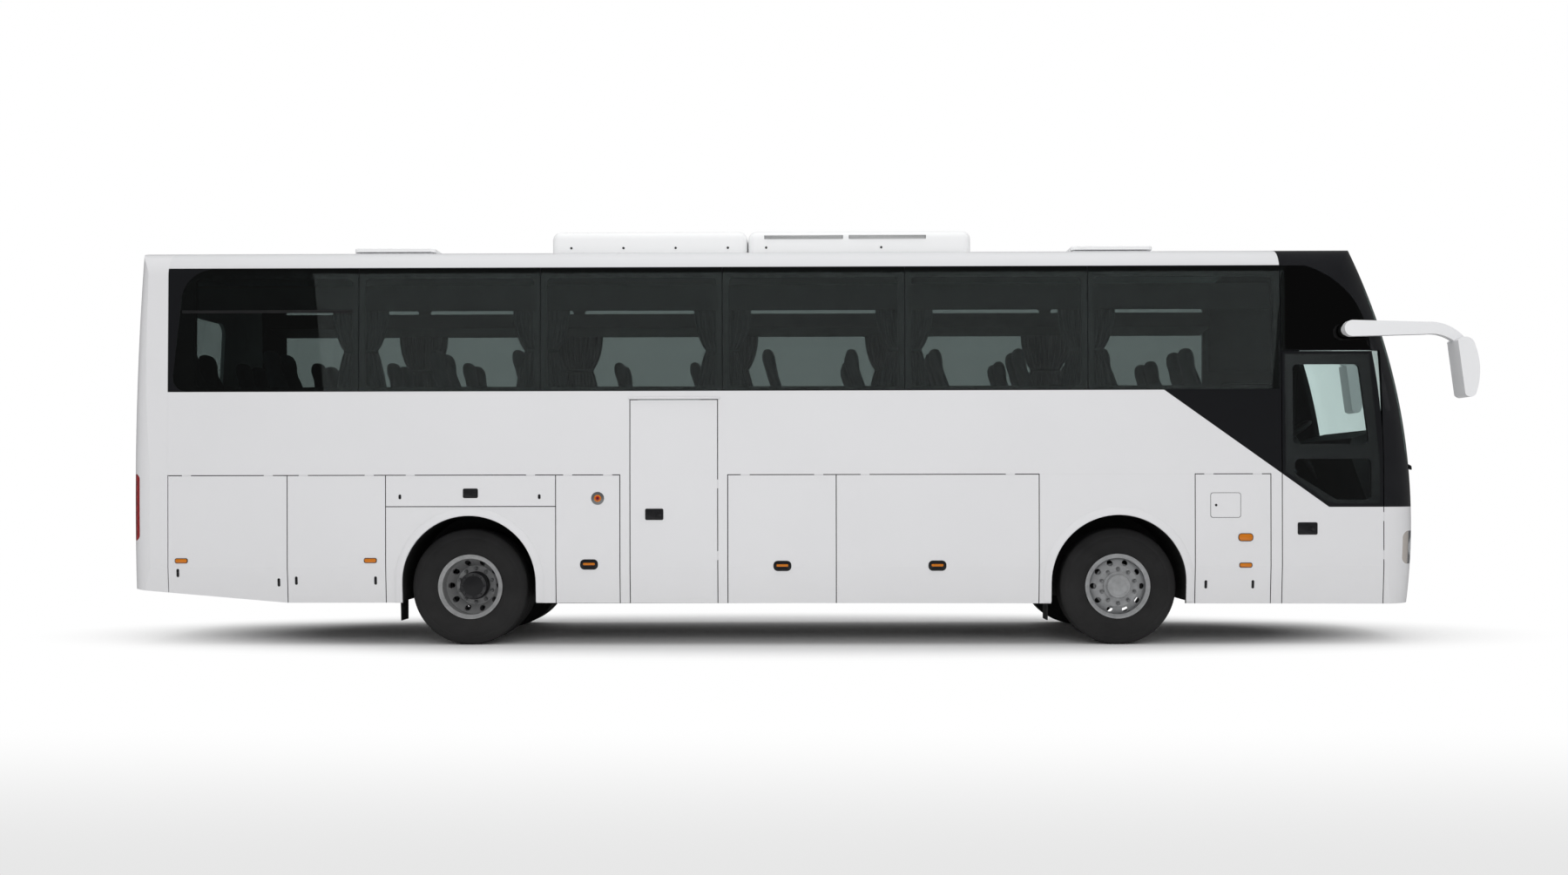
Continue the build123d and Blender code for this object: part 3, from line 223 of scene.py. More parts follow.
def buildWeave():  # two crossed sets of threads
    group, ins, outs = newGroup(
        "clothWeave",
        [("Color", "NodeSocketColor", (0.1, 0.1, 0.12, 1)),
         ("Thread", "NodeSocketColor", (0.2, 0.2, 0.22, 1)),
         ("Count", "NodeSocketFloat", 260.0)],
        [("Color", "NodeSocketColor"), ("Height", "NodeSocketFloat")])
    place, axes = objectPlace(group)
    waves = [mathNode(group, "SINE", times(group, axes[k], ins.outputs["Count"])) for k in range(3)]
    woven = plus(group, times(group, waves[0], waves[1]), times(group, waves[1], waves[2]))
    soft = mapRange(group, woven, -1.2, 1.2)
    fade = mapRange(group, noiseNode(group, place, 6.0, 4.0), 0.3, 0.7, 0.1, 0.5)
    tone = mixColor(group, fade, ins.outputs["Color"], ins.outputs["Thread"])
    tone = mixColor(group, times(group, soft, 0.35), tone, ins.outputs["Thread"])
    wire(group, tone, outs.inputs["Color"])
    wire(group, soft, outs.inputs["Height"])
    return group


dustGroup = buildRoadDust()
grainGroup = buildFineGrain()
weaveGroup = buildWeave()
print("node groups built")


def newMaterial(name, **values):
    material = bpy.data.materials.new(name)
    material.use_nodes = True
    tree = material.node_tree
    shader = tree.nodes["Principled BSDF"]
    for label, value in values.items():
        if isinstance(value, tuple):
            value += (1.0,)
        shader.inputs[label.replace("_", " ")].default_value = value
    return material, tree, shader


def placeGroup(tree, group, **values):
    node = tree.nodes.new("ShaderNodeGroup")
    node.node_tree = group
    for label, value in values.items():
        if isinstance(value, (int, float)):
            node.inputs[label].default_value = value
        elif isinstance(value, (tuple, list)):
            node.inputs[label].default_value = tuple(value) + (1.0,)
        else:
            wire(tree, value, node.inputs[label])
    return node


def addDust(tree, shader, **values):  # the dust group drives the shader's colour and roughness
    dust = placeGroup(tree, dustGroup, **values)
    for label, target in (("Color", "Base Color"), ("Roughness", "Roughness")):
        wire(tree, dust.outputs[label], shader.inputs[target])


def addBump(tree, shader, height, strength, distance):
    bump = tree.nodes.new("ShaderNodeBump")
    bump.inputs["Strength"].default_value = strength
    bump.inputs["Distance"].default_value = distance
    wire(tree, height, bump.inputs["Height"])
    wire(tree, bump.outputs[0], shader.inputs["Normal"])


# Paint

paint = {
    "white": (0.775, 0.775, 0.79),
    "black": (0.006, 0.0065, 0.0085),
    "dust": (0.50, 0.49, 0.47),
    "capDust": (0.05, 0.05, 0.052),
    "inner": (0.012, 0.012, 0.013),    # painted shade on the edges and backs of the panels, where they sink inside the skin
    "bandLow": 2.272,
    "bandHigh": 3.385,
    "sweepStart": 3.33,      # where the black sweep leaves the glass band
    "sweepTop": 2.262,
    "sweepSlope": 0.7178,
    "sweepFoot": 1.226,
    "bandRear": (-5.60, -5.595),
    "sunkShadeRear": (-5.56, -5.55),        # where the painted shade on sunk surfaces begins and ends along the coach
    "sunkShadeFront": (5.27, 5.28),
    "sunkShadeTop": (3.30, 3.31),
    "cooler": (0.93, 0.935, 0.94),
    "roof": (0.74, 0.745, 0.76),
    "mirror": (0.88, 0.885, 0.90),
}


def makeCoachPaint():
    material, tree, shader = newMaterial("coachPaint", Roughness=0.32, Coat_Weight=0.25, Coat_Roughness=0.08)
    place, axes = objectPlace(tree)
    drop = times(tree, minus(tree, axes[0], paint["sweepStart"]), paint["sweepSlope"])
    line = minus(tree, paint["sweepTop"], drop)
    line = mathNode(tree, "MINIMUM", mathNode(tree, "MAXIMUM", line, paint["sweepFoot"]), paint["bandLow"])
    above = mapRange(tree, minus(tree, axes[2], line), -0.0015, 0.0015)
    below = mapRange(tree, axes[2], paint["bandHigh"] - 0.001, paint["bandHigh"] + 0.001, 1.0, 0.0)
    black = times(tree, times(tree, above, below), mapRange(tree, axes[0], *paint["bandRear"]))
    patchy = mapRange(tree, noiseNode(tree, place, 0.9, 3.0), 0.35, 0.7, 0.0, 0.5)
    white = mixColor(tree, patchy, paint["white"], scaled(paint["white"], 0.965))
    color = mixColor(tree, black, white, paint["black"])
    # painted shade: surfaces sunk 3 to 5 mm or more inside the skin, along the coach and below the band's
    # top, turn near black
    tucked = mathNode(tree, "MAXIMUM", minus(tree, skin["tuckStart"], axes[2]), 0.0)
    leaning = mathNode(tree, "MAXIMUM", minus(tree, axes[2], skin["leanStart"]), 0.0)
    outer = minus(tree, skin["half"], times(tree, tucked, skin["tuck"]))
    outer = minus(tree, outer, times(tree, leaning, skin["lean"]))
    sunk = minus(tree, outer, mathNode(tree, "ABSOLUTE", axes[1]))
    along = times(tree, mapRange(tree, axes[0], *paint["sunkShadeRear"]),
                  mapRange(tree, axes[0], *paint["sunkShadeFront"], 1.0, 0.0))
    inner = times(tree, mapRange(tree, sunk, 0.003, 0.005), along)
    inner = times(tree, inner, mapRange(tree, axes[2], *paint["sunkShadeTop"], 1.0, 0.0))
    color = mixColor(tree, inner, color, paint["inner"])
    addDust(tree, shader, Color=color, Dust=paint["dust"], Top=0.85, Amount=0.16, Roughness=0.3)
    addBump(tree, shader, noiseNode(tree, place, 1.3, 2.0, 0.4, (0.6, 1.0, 1.0)), 0.05, 0.01)
    return material


def makeCapBlack():
    material, tree, shader = newMaterial("capBlack", Coat_Weight=0.4, Coat_Roughness=0.03)
    addDust(tree, shader, Color=paint["black"], Dust=paint["capDust"], Top=4.0, Amount=0.15, Roughness=0.16)
    return material


def makePlainWhite(name, color, rough):
    material, tree, shader = newMaterial(name, Coat_Weight=0.3, Coat_Roughness=0.1)
    addDust(tree, shader, Color=color, Dust=scaled(color, 0.8), Top=9.0, Amount=0.12, Roughness=rough)
    return material


# Glass

glazing = {
    "side": (0.285, 0.325, 0.318),
    "quarter": (0.004, 0.004, 0.005),   # the panel over the front door is blacked out
    "clear": (0.88, 0.93, 0.925),
    "screen": (0.62, 0.74, 0.72),
    "cabStart": 4.40,
}


def makeGlass(name, color, cab=None):  # light for the inside passes straight through the pane
    material, tree, shader = newMaterial(name, Base_Color=color, Roughness=0.0, Transmission_Weight=1.0,
                                         IOR=1.45)
    place, axes = objectPlace(tree)
    haze = mapRange(tree, noiseNode(tree, place, 2.2, 3.0), 0.3, 0.7, 0.0, 0.12)
    tone = mixColor(tree, haze, color, scaled(color, 0.8))
    if cab:
        start = glazing["cabStart"]
        tone = mixColor(tree, mapRange(tree, axes[0], start - 0.01, start), tone, cab)
    wire(tree, tone, shader.inputs["Base Color"])
    clear = tree.nodes.new("ShaderNodeBsdfTransparent")
    wire(tree, tone, clear.inputs[0])
    mix = tree.nodes.new("ShaderNodeMixShader")
    rays = tree.nodes.new("ShaderNodeLightPath")
    through = mathNode(tree, "MAXIMUM", rays.outputs["Is Shadow Ray"], rays.outputs["Is Diffuse Ray"])
    wire(tree, through, mix.inputs[0])
    wire(tree, shader.outputs[0], mix.inputs[1])
    wire(tree, clear.outputs[0], mix.inputs[2])
    wire(tree, mix.outputs[0], tree.nodes["Material Output"].inputs[0])
    return material


# Rubber, steel, plastic, cloth

finishes = {
    "tyre": (0.012, 0.012, 0.013),
    "silver": (0.52, 0.53, 0.54),
    "hubDark": (0.045, 0.045, 0.048),
    "chassis": (0.020, 0.020, 0.022),
    "liner": (0.018, 0.018, 0.019),
    "floor": (0.11, 0.11, 0.12),
    "seat": (0.030, 0.034, 0.042),
    "seatThread": (0.075, 0.080, 0.095),
    "curtain": (0.060, 0.066, 0.070),
    "curtainThread": (0.10, 0.108, 0.115),
    "trim": (0.035, 0.036, 0.038),
    "orange": (0.90, 0.26, 0.01),
    "red": (0.42, 0.010, 0.014),
    "rearSilver": (0.50, 0.505, 0.51),
    "nuts": (0.45, 0.46, 0.47),
    "seal": (0.015, 0.015, 0.016),
    "handle": (0.014, 0.014, 0.016),
    "roadDust": (0.10, 0.095, 0.09),
    "lampHousing": (0.16, 0.165, 0.175),
    "reflector": (0.78, 0.80, 0.83),
    "amber": (0.50, 0.46, 0.43),
}


def makeGrained(name, color, rough, scale, bump, dustAmount=0.0, metallic=0.0):
    material, tree, shader = newMaterial(name, Metallic=metallic, Roughness=rough)
    grain = placeGroup(tree, grainGroup, Color=color, Scale=scale, Shade=0.3)
    tone = grain.outputs["Color"]
    if dustAmount:
        addDust(tree, shader, Color=tone, Dust=finishes["roadDust"], Top=1.1, Amount=dustAmount,
                Roughness=rough)
    else:
        wire(tree, tone, shader.inputs["Base Color"])
    addBump(tree, shader, grain.outputs["Height"], bump, 0.001)
    return material


def makeCloth(name, color, thread, count):
    material, tree, shader = newMaterial(name, Roughness=0.9, Sheen_Weight=0.15)
    weave = placeGroup(tree, weaveGroup, Color=color, Thread=thread, Count=count)
    wire(tree, weave.outputs["Color"], shader.inputs["Base Color"])
    addBump(tree, shader, weave.outputs["Height"], 0.3, 0.001)
    return material


def makeWheelPaint(name, axle, silver, dark, darkRadius):  # silver rim, darker round the hub
    material, tree, shader = newMaterial(name, Roughness=0.35, Metallic=0.55)
    place, axes = objectPlace(tree)
    across = minus(tree, axes[0], axles[axle])
    up = minus(tree, axes[2], axles["height"])
    grime = noiseNode(tree, place, 14.0, 5.0, 0.65)
    outside = mapRange(tree, hypotenuse(tree, across, up), darkRadius - 0.004, darkRadius + 0.004)
    tone = mixColor(tree, outside, dark, silver)
    dirty = mixColor(tree, mapRange(tree, grime, 0.4, 0.75, 0.0, 0.45), tone, scaled(silver, 0.5))
    wire(tree, dirty, shader.inputs["Base Color"])
    wire(tree, mapRange(tree, grime, 0.3, 0.7, 0.3, 0.6), shader.inputs["Roughness"])
    addBump(tree, shader, grime, 0.1, 0.001)
    return material


def makeLampGlass(name, color, bars):  # moulded optics behind a clear face
    material, tree, shader = newMaterial(name, Roughness=0.1, Coat_Weight=1.0, Coat_Roughness=0.02)
    axes = objectPlace(tree)[1]
    ribs = mathNode(tree, "SINE", times(tree, axes[2], bars))
    cells = mathNode(tree, "SINE", times(tree, axes[1], bars))
    pattern = mapRange(tree, times(tree, ribs, cells), -1.0, 1.0)
    wire(tree, mixColor(tree, pattern, scaled(color, 0.45), color), shader.inputs["Base Color"])
    addBump(tree, shader, pattern, 0.5, 0.004)
    return material


def makeHeadlampGlass(low, high):  # dark housing with bright round reflectors and an amber end
    material, tree, shader = newMaterial("headlampGlass", Roughness=0.12, Coat_Weight=1.0,
                                         Coat_Roughness=0.02)
    axes = objectPlace(tree)[1]
    outward = mathNode(tree, "ABSOLUTE", axes[1])
    wide, radius = high[1] - low[1], 0.30 * (high[2] - low[2])
    up = minus(tree, axes[2], (low[2] + high[2]) / 2)
    spots = []
    for share in (0.30, 0.62):
        away = hypotenuse(tree, minus(tree, outward, low[1] + wide * share), up)
        disc = mapRange(tree, away, radius, radius + 0.004, 1.0, 0.0)
        bulb = mapRange(tree, away, radius * 0.30, radius * 0.36, 0.45, 1.0)
        spots.append(times(tree, disc, bulb))
    tone = mathNode(tree, "MAXIMUM", *spots)
    ribs = mathNode(tree, "SINE", times(tree, outward, 420.0))
    color = mixColor(tree, tone, finishes["lampHousing"], finishes["reflector"])
    amber = mapRange(tree, outward, low[1] + wide * 0.84, low[1] + wide * 0.85)
    wire(tree, mixColor(tree, amber, color, finishes["amber"]), shader.inputs["Base Color"])
    addBump(tree, shader, plus(tree, tone, times(tree, ribs, 0.1)), 0.6, 0.01)
    return material


def outerSide(name):  # low and high corners of a pair's left-hand one
    places = [vert.co for vert in nodes[name].data.vertices if vert.co.y > 0]
    return [[pick(place[k] for place in places) for k in range(3)] for pick in (min, max)]


coachPaint = makeCoachPaint()
capBlack = makeCapBlack()
podWhite = makePlainWhite("podWhite", paint["cooler"], 0.42)
roofWhite = makePlainWhite("roofWhite", paint["roof"], 0.36)
mirrorWhite = makePlainWhite("mirrorWhite", paint["mirror"], 0.35)
sideGlass = makeGlass("sideGlass", glazing["side"], glazing["quarter"])
doorGlass = makeGlass("doorGlass", glazing["clear"])
screenGlass = makeGlass("screenGlass", glazing["screen"])
tyreRubber = makeGrained("tyreRubber", finishes["tyre"], 0.72, 300.0, 0.25, 0.16)
chassisBlack = makeGrained("chassisBlack", finishes["chassis"], 0.6, 120.0, 0.2, 0.3)
linerBlack = makeGrained("linerBlack", finishes["liner"], 0.85, 200.0, 0.4, 0.25)
floorGrey = makeGrained("floorGrey", finishes["floor"], 0.7, 500.0, 0.3)
trimDark = makeGrained("trimDark", finishes["trim"], 0.55, 700.0, 0.3)
sealRubber = makeGrained("sealRubber", finishes["seal"], 0.6, 500.0, 0.2)
handleBlack = makeGrained("handleBlack", finishes["handle"], 0.35, 900.0, 0.1)
seatCloth = makeCloth("seatCloth", finishes["seat"], finishes["seatThread"], 900.0)
curtainCloth = makeCloth("curtainCloth", finishes["curtain"], finishes["curtainThread"], 1400.0)
headLens = makeHeadlampGlass(*outerSide("headlamps"))
tailLens = makeLampGlass("tailLens", finishes["red"], 70.0)
orangeLens = makeLampGlass("orangeLens", finishes["orange"], 600.0)
nutSteel = makeGrained("nutSteel", finishes["nuts"], 0.35, 300.0, 0.1, 0.0, 0.8)
frontWheelPaint = makeWheelPaint("frontWheelPaint", "front", finishes["silver"], finishes["silver"], 0.10)
rearWheelPaint = makeWheelPaint("rearWheelPaint", "rear", finishes["rearSilver"], finishes["hubDark"], 0.128)
print("materials made")

finishNodes = (
    (coachPaint, "side_wall_right side_wall_left arch_panels front_panel rear_panel engine_lid "
                 "front_door middle_door"),
    (chassisBlack, "underframe subframes front_subframes front_axle rear_axle engine knuckle_right "
                   "knuckle_left"),
    (podWhite, "roof_air_conditioner rear_roof_hatch front_roof_hatch"),
    (roofWhite, "roof_panel"), (mirrorWhite, "mirrors"), (capBlack, "screen_surround"),
    (screenGlass, "windscreen"), (sideGlass, "window_panes"), (doorGlass, "front_door_glass"),
    (headLens, "headlamps"), (tailLens, "tail_lamps"), (floorGrey, "saloon_floor stairs"),
    (linerBlack, "luggage_bay wheel_housings"), (sealRubber, "air_springs mud_flaps wipers"),
    (trimDark, "dashboard luggage_racks steering_wheel"),
    (frontWheelPaint, "wheel_front_left wheel_front_right"),
    (rearWheelPaint, "wheel_rear_left wheel_rear_right"),
)
nodeFinish = {name: finish for finish, names in finishNodes for name in names.split()}
for name, node in nodes.items():
    finish = nodeFinish.get(name)
    if finish is None and ("flap" in name or name.startswith("radiator")):
        finish = coachPaint
    if finish is not None:
        node.data.materials.clear()
        node.data.materials.append(finish)
print("CAD nodes finished")


# Mesh helpers

def addObject(name, mesh, body, material, smooth=None):
    mesh.materials.append(material)
    piece = bpy.data.objects.new(name, mesh)
    bpy.context.scene.collection.objects.link(piece)
    if smooth is not None:
        for polygon in mesh.polygons:
            polygon.use_smooth = True
        mesh.set_sharp_from_angle(angle=math.radians(smooth))
    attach(piece, body)
    return piece


def meshFrom(name, build):
    shape = bmesh.new()
    build(shape)
    bmesh.ops.recalc_face_normals(shape, faces=shape.faces)
    mesh = bpy.data.meshes.new(name)
    shape.to_mesh(mesh)
    shape.free()
    return mesh


def softBox(shape, centre, size, radius, segments):
    made = bmesh.ops.create_cube(shape, size=1.0)["verts"]
    bmesh.ops.scale(shape, vec=size, verts=made)
    edges = list({edge for vert in made for edge in vert.link_edges})
    bevelled = bmesh.ops.bevel(shape, geom=edges, offset=min(radius, 0.49 * min(size)), segments=segments,
                               profile=0.5, affect="EDGES")["verts"]
    verts = list({vert for vert in bevelled} | {vert for vert in made if vert.is_valid})
    bmesh.ops.translate(shape, vec=centre, verts=verts)


def joinRings(shape, rings, lastFirst=False):  # skin over matching rings, closed at both ends
    count = len(rings[0])
    for here, there in zip(rings, rings[1:]):
        for k in range(count):
            shape.faces.new((here[k], here[(k + 1) % count], there[(k + 1) % count], there[k]))
    caps = (rings[-1], rings[0]) if lastFirst else (rings[0], rings[-1])
    shape.faces.new(caps[0])
    shape.faces.new(list(reversed(caps[1])))


def pillShape(width, height, corner, steps=5):  # outline of a rounded rectangle about its centre
    points = []
    for cx, cz, start in ((1, 1, 0), (-1, 1, 90), (-1, -1, 180), (1, -1, 270)):
        for step in range(steps + 1):
            angle = math.radians(start + 90 * step / steps)
            points.append((cx * (width / 2 - corner) + corner * math.cos(angle),
                           cz * (height / 2 - corner) + corner * math.sin(angle)))
    return points


def sidePlate(shape, spot, size, corner, stand, edge):
    # rounded plate that follows the right side's skin, with a softened rim
    sink, smallest = 0.002, 0.0005
    rings = []
    for inset, out in ((0.0, -sink), (0.0, stand - edge), (edge, stand)):
        outline = pillShape(size[0] - 2 * inset, size[1] - 2 * inset, max(corner - inset, smallest))
        rings.append([shape.verts.new((spot[0] + dx, -(sideHalf(spot[1] + dz) + out), spot[1] + dz))
                      for dx, dz in outline])
    joinRings(shape, rings, True)


def sidePiece(name, body, finish, smooth, pixel, plates):
    # plates: shift along and up from the pixel's place, size, corner, stand and rim
    spot = onSide(*pixel)

    def build(shape):
        for shift, size, corner, stand, edge in plates:
            sidePlate(shape, (spot.x + shift[0], spot.z + shift[1]), size, corner, stand, edge)

    return addObject(name, meshFrom(name, build), body, finish, smooth)


def lathe(shape, profile, centre, steps):  # (radius, y) turned about a level axis across the coach
    rings = []
    for step in range(steps):
        angle = 2 * math.pi * step / steps
        x, z = math.cos(angle), math.sin(angle)
        rings.append([shape.verts.new((centre[0] + radius * x, y, centre[1] + radius * z))
                      for radius, y in profile])
    for index in range(steps):
        here, there = rings[index], rings[(index + 1) % steps]
        for k in range(len(profile) - 1):
            shape.faces.new((here[k], here[k + 1], there[k + 1], there[k]))
        shape.faces.new((here[-1], here[0], there[0], there[-1]))


# Tyres

tyreLook = {
    "outer": 0.520,
    "grooves": (-0.066, -0.022, 0.022, 0.066),
    "grooveWide": 0.009,
    "grooveDeep": 0.014,
    "plane": 1.098,
    "twin": 0.320,
    "side": ((0.2905, 0.112), (0.3025, 0.119), (0.330, 0.136), (0.352, 0.1435), (0.362, 0.1435),
             (0.366, 0.1455), (0.400, 0.1475), (0.436, 0.1465), (0.440, 0.1445), (0.447, 0.1445),
             (0.451, 0.1455), (0.474, 0.139), (0.493, 0.130), (0.506, 0.124), (0.515, 0.113), (0.519, 0.100)),
}
wheels = (("front_right", "front", -1, "right_front_wheel"), ("front_left", "front", 1, "left_front_wheel"),
          ("rear_right", "rear", -1, "right_rear_wheels"), ("rear_left", "rear", 1, "left_rear_wheels"))


def tyreProfile(y):  # (radius, y) from the outer bead over the tread to the inner bead
    side, outer = tyreLook["side"], tyreLook["outer"]
    wide, floor = tyreLook["grooveWide"] / 2, outer - tyreLook["grooveDeep"]
    top = []
    for groove in reversed(tyreLook["grooves"]):
        top += [(outer, groove + wide), (floor, groove + wide * 0.7), (floor, groove - wide * 0.7),
                (outer, groove - wide)]
    return ([(radius, y + offset) for radius, offset in (*side, *top)]
            + [(radius, y - offset) for radius, offset in reversed(side)])


def makeTyres():
    for name, axle, side, body in wheels:
        planes = [side * tyreLook["plane"]]
        if axle == "rear":
            planes.append(side * (tyreLook["plane"] - tyreLook["twin"]))

        def build(shape):
            for y in planes:
                lathe(shape, tyreProfile(y), (axles[axle], axles["height"]), 112)

        mesh = meshFrom("tyreMesh", build)
        tyre = addObject("tyre_" + name + "_tread", mesh, body, tyreRubber, 40)
        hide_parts("tyre_" + name)


makeTyres()
print("tyres made")

# Wheel nuts and hub caps

hubLook = {
    "nuts": 10,
    "nutCircle": 0.154,
    "nutRadius": 0.016,
    "nutLength": 0.030,
    "boltRadius": 0.0085,
    "studs": 8,
    "tip": 0.0005,                       # a lathed end closes to this radius
    "front": (1.223, 1.271, 0.100),      # nut face, cap face and cap radius
    "rear": (0.950, 1.088, 0.118),
}


def outwards(side, profile):
    return [(radius, side * y) for radius, y in profile]


def roundThe(axle, radius, turn):  # a place round the axle, turn as a share of the circle
    return (axles[axle] + radius * math.cos(2 * math.pi * turn),
            axles["height"] + radius * math.sin(2 * math.pi * turn))


def makeHubs():
    radius, bolt, tip = hubLook["nutRadius"], hubLook["boltRadius"], hubLook["tip"]
    for name, axle, side, body in wheels:
        face, end, rim = hubLook[axle]
        top = face + hubLook["nutLength"]
        nut = ((radius * 1.25, face - 0.001), (radius * 1.25, face + 0.006), (radius, face + 0.007),
               (radius, top - 0.004), (radius * 0.75, top), (tip, top))
        thread = ((bolt, top - 0.002), (bolt, top + 0.012), (tip, top + 0.014))
        cap = ((rim + 0.001, end - 0.030), (rim + 0.006, end - 0.026), (rim + 0.006, end - 0.016),
               (rim - 0.004, end - 0.006), (rim - 0.030, end + 0.001), (0.052, end + 0.0015),
               (0.048, end + 0.0025), (tip, end + 0.003))
        stud = ((0.008, end - 0.010), (0.008, end + 0.003), (tip, end + 0.004))

        def buildNuts(shape):
            for index in range(hubLook["nuts"]):
                centre = roundThe(axle, hubLook["nutCircle"], (index + 0.5) / hubLook["nuts"])
                lathe(shape, outwards(side, nut), centre, 6)
                lathe(shape, outwards(side, thread), centre, 10)

        def buildCap(shape):
            lathe(shape, outwards(side, cap), (axles[axle], axles["height"]), 48)
            for index in range(hubLook["studs"]):
                lathe(shape, outwards(side, stud), roundThe(axle, rim - 0.018, index / hubLook["studs"]), 6)

        addObject("wheel_nuts_" + name, meshFrom("nutMesh", buildNuts), body, nutSteel, 35)
        addObject("hub_cap_" + name, meshFrom("capMesh", buildCap), body,
                  frontWheelPaint if axle == "front" else handleBlack, 35)


makeHubs()
print("hubs made")

# Small fittings on the right side, placed by the photograph's pixels

fittings = {
    "markers": (("rear_service_flap_right", (208, 643), (0.105, 0.036)),
                ("mid_service_flap_right", (425, 643), (0.105, 0.036)),
                ("front_service_flap_right", (1430, 618), (0.122, 0.062)),
                ("front_service_flap_right", (1430, 650), (0.105, 0.036))),
    "markerStand": 0.012,
    "locks": (("rear_service_flap_right", (204, 657)), ("rear_service_flap_right", (320, 668)),
              ("mid_service_flap_right", (340, 666)), ("mid_service_flap_right", (431, 666)),
              ("wheel_flap_right", (459, 570)), ("wheel_flap_right", (619, 570)),
              ("front_service_flap_right", (1384, 672)), ("front_service_flap_right", (1438, 672))),
    "lockSize": (0.024, 0.074),
    "smallLock": 0.042,
    "latches": (("filler_flap_right", (676, 648)), ("short_luggage_flap_right", (898, 650)),
                ("long_luggage_flap_right", (1076, 650))),
    "latchSize": (0.160, 0.092),
    "handles": (("wheel_flap_right", (540, 566), (0.135, 0.086)),
                ("middle_door", (751, 590.5), (0.163, 0.102)),
                ("front_door", (1501, 608), (0.176, 0.110))),
}


def makeMarkers():
    for index, (body, pixel, (width, height)) in enumerate(fittings["markers"]):
        label = str(index + 1)
        lens = ((0, 0), (width, height), height * 0.42, fittings["markerStand"], 0.006)
        rim = ((0, 0), (width + 0.012, height + 0.010), height * 0.48, 0.004, 0.002)
        sidePiece("side_marker_" + label, body, orangeLens, 50, pixel, [lens])
        sidePiece("side_marker_rim_" + label, body, trimDark, 50, pixel, [rim])


def makeLocks():
    width, height = fittings["lockSize"]
    for index, (body, pixel) in enumerate(fittings["locks"]):
        tall = fittings["smallLock"] if body == "wheel_flap_right" else height
        plates = [((0, 0), (width, tall), width * 0.45, 0.003, 0.002),
                  ((0, tall * 0.16), (width * 0.6, width * 0.6), width * 0.29, 0.007, 0.002)]
        sidePiece("flap_lock_" + str(index + 1), body, handleBlack, 50, pixel, plates)


def makeLatches():
    width, height = fittings["latchSize"]
    for index, (body, pixel) in enumerate(fittings["latches"]):
        label = str(index + 1)
        plates = [((0, 0), (width, height), height * 0.42, 0.006, 0.004),
                  ((0, -0.030), (width * 0.62, 0.016), 0.006, 0.016, 0.004)]
        sidePiece("flap_latch_" + label, body, handleBlack, 50, pixel, plates)
        insert = ((0, 0.004), (width * 0.66, 0.022), 0.008, 0.010, 0.003)
        sidePiece("flap_latch_insert_" + label, body, orangeLens, 50, pixel, [insert])


def makeHandles():
    for index, (body, pixel, (width, height)) in enumerate(fittings["handles"]):
        plates = [((0, 0), (width, height), 0.014, 0.006, 0.004),
                  ((-width * 0.20, 0), (width * 0.50, height * 0.66), 0.010, 0.013, 0.004),
                  ((width * 0.28, 0), (width * 0.24, width * 0.24), width * 0.11, 0.011, 0.003)]
        sidePiece("door_handle_" + str(index + 1), body, handleBlack, 50, pixel, plates)


makeMarkers()
makeLocks()
makeLatches()
makeHandles()
print("side fittings made")

# Arch lips, drip rail, fuel flap and the filler disc

trims = {
    "lipRadius": 0.5985,
    "lipWide": 0.070,
    "lipProud": 0.014,
    "lipFoot": 0.385,
    "archCentre": 0.560,
    "rail": (774, 457, 0.820, 0.020),
    "windowBar": (307, 357, 1.530, 0.026),
    "fuelFlap": (1407, 581, 0.262, 0.216),
    "fuelEdge": 0.008,
    "fuelLock": (1396, 581, 0.022),
    "disc": (686, 572, 0.116),
}


def archLip(shape, axleX, side):
    t = trims
    path = [(-1.0, 0.0, t["lipFoot"] - t["archCentre"])]
    steps = 40
    for step in range(steps + 1):
        angle = math.pi - math.pi * step / steps
        path.append((math.cos(angle), math.sin(angle), 0.0))
    path.append((1.0, 0.0, t["lipFoot"] - t["archCentre"]))
    section = ((0.0, -0.020), (0.0, 0.010), (0.004, t["lipProud"]), (0.052, t["lipProud"] * 0.85),
               (t["lipWide"], 0.0008), (t["lipWide"], -0.006))
    rings = []
    for outX, outZ, drop in path:
        ring = []
        for outward, proud in section:
            reach = t["lipRadius"] + outward
            x, z = axleX + outX * reach, t["archCentre"] + outZ * reach + drop
            ring.append(shape.verts.new((x, side * (sideHalf(z) + proud), z)))
        rings.append(ring)
    joinRings(shape, rings)


def makeTrims():
    for name in ("rear", "front"):
        for label, side in (("right", -1), ("left", 1)):
            mesh = meshFrom("archLip", lambda shape: archLip(shape, axles[name], side))
            addObject("arch_lip_" + name + "_" + label, mesh, "coach", coachPaint, 35)
    u, v, width, height = trims["rail"]
    sidePiece("drip_rail", "coach", coachPaint, 40, (u, v),
              [((0, 0), (width, height), 0.008, 0.020, 0.006)])
    u, v, width, height = trims["windowBar"]
    sidePiece("window_bar", "coach", sealRubber, 40, (u, v),
              [((0, 0), (width, height), 0.006, 0.006, 0.003)])
    u, v, width, height = trims["fuelFlap"]
    edge = trims["fuelEdge"]
    flap = "front_service_flap_right"
    sidePiece("fuel_flap_edge", flap, sealRubber, None, (u, v),
              [((0, 0), (width + edge, height + edge), 0.022, 0.0008, 0.0004)])
    sidePiece("fuel_flap_skin", flap, coachPaint, 40, (u, v),
              [((0, 0), (width, height), 0.020, 0.0022, 0.001)])
    u, v, across = trims["fuelLock"]
    sidePiece("fuel_flap_lock", flap, handleBlack, 50, (u, v),
              [((0, 0), (across, across), across * 0.49, 0.005, 0.002)])
    u, v, across = trims["disc"]
    rings = ((1.0, 0.003, nutSteel), (0.56, 0.006, orangeLens), (0.34, 0.008, tailLens),
             (0.14, 0.010, handleBlack))
    for index, (share, stand, finish) in enumerate(rings):
        wide = across * share
        sidePiece("filler_disc_" + str(index + 1), "filler_flap_right", finish, 50, (u, v),
                  [((0, 0), (wide, wide), wide * 0.499, stand, 0.001)])


makeTrims()
print("trims made")
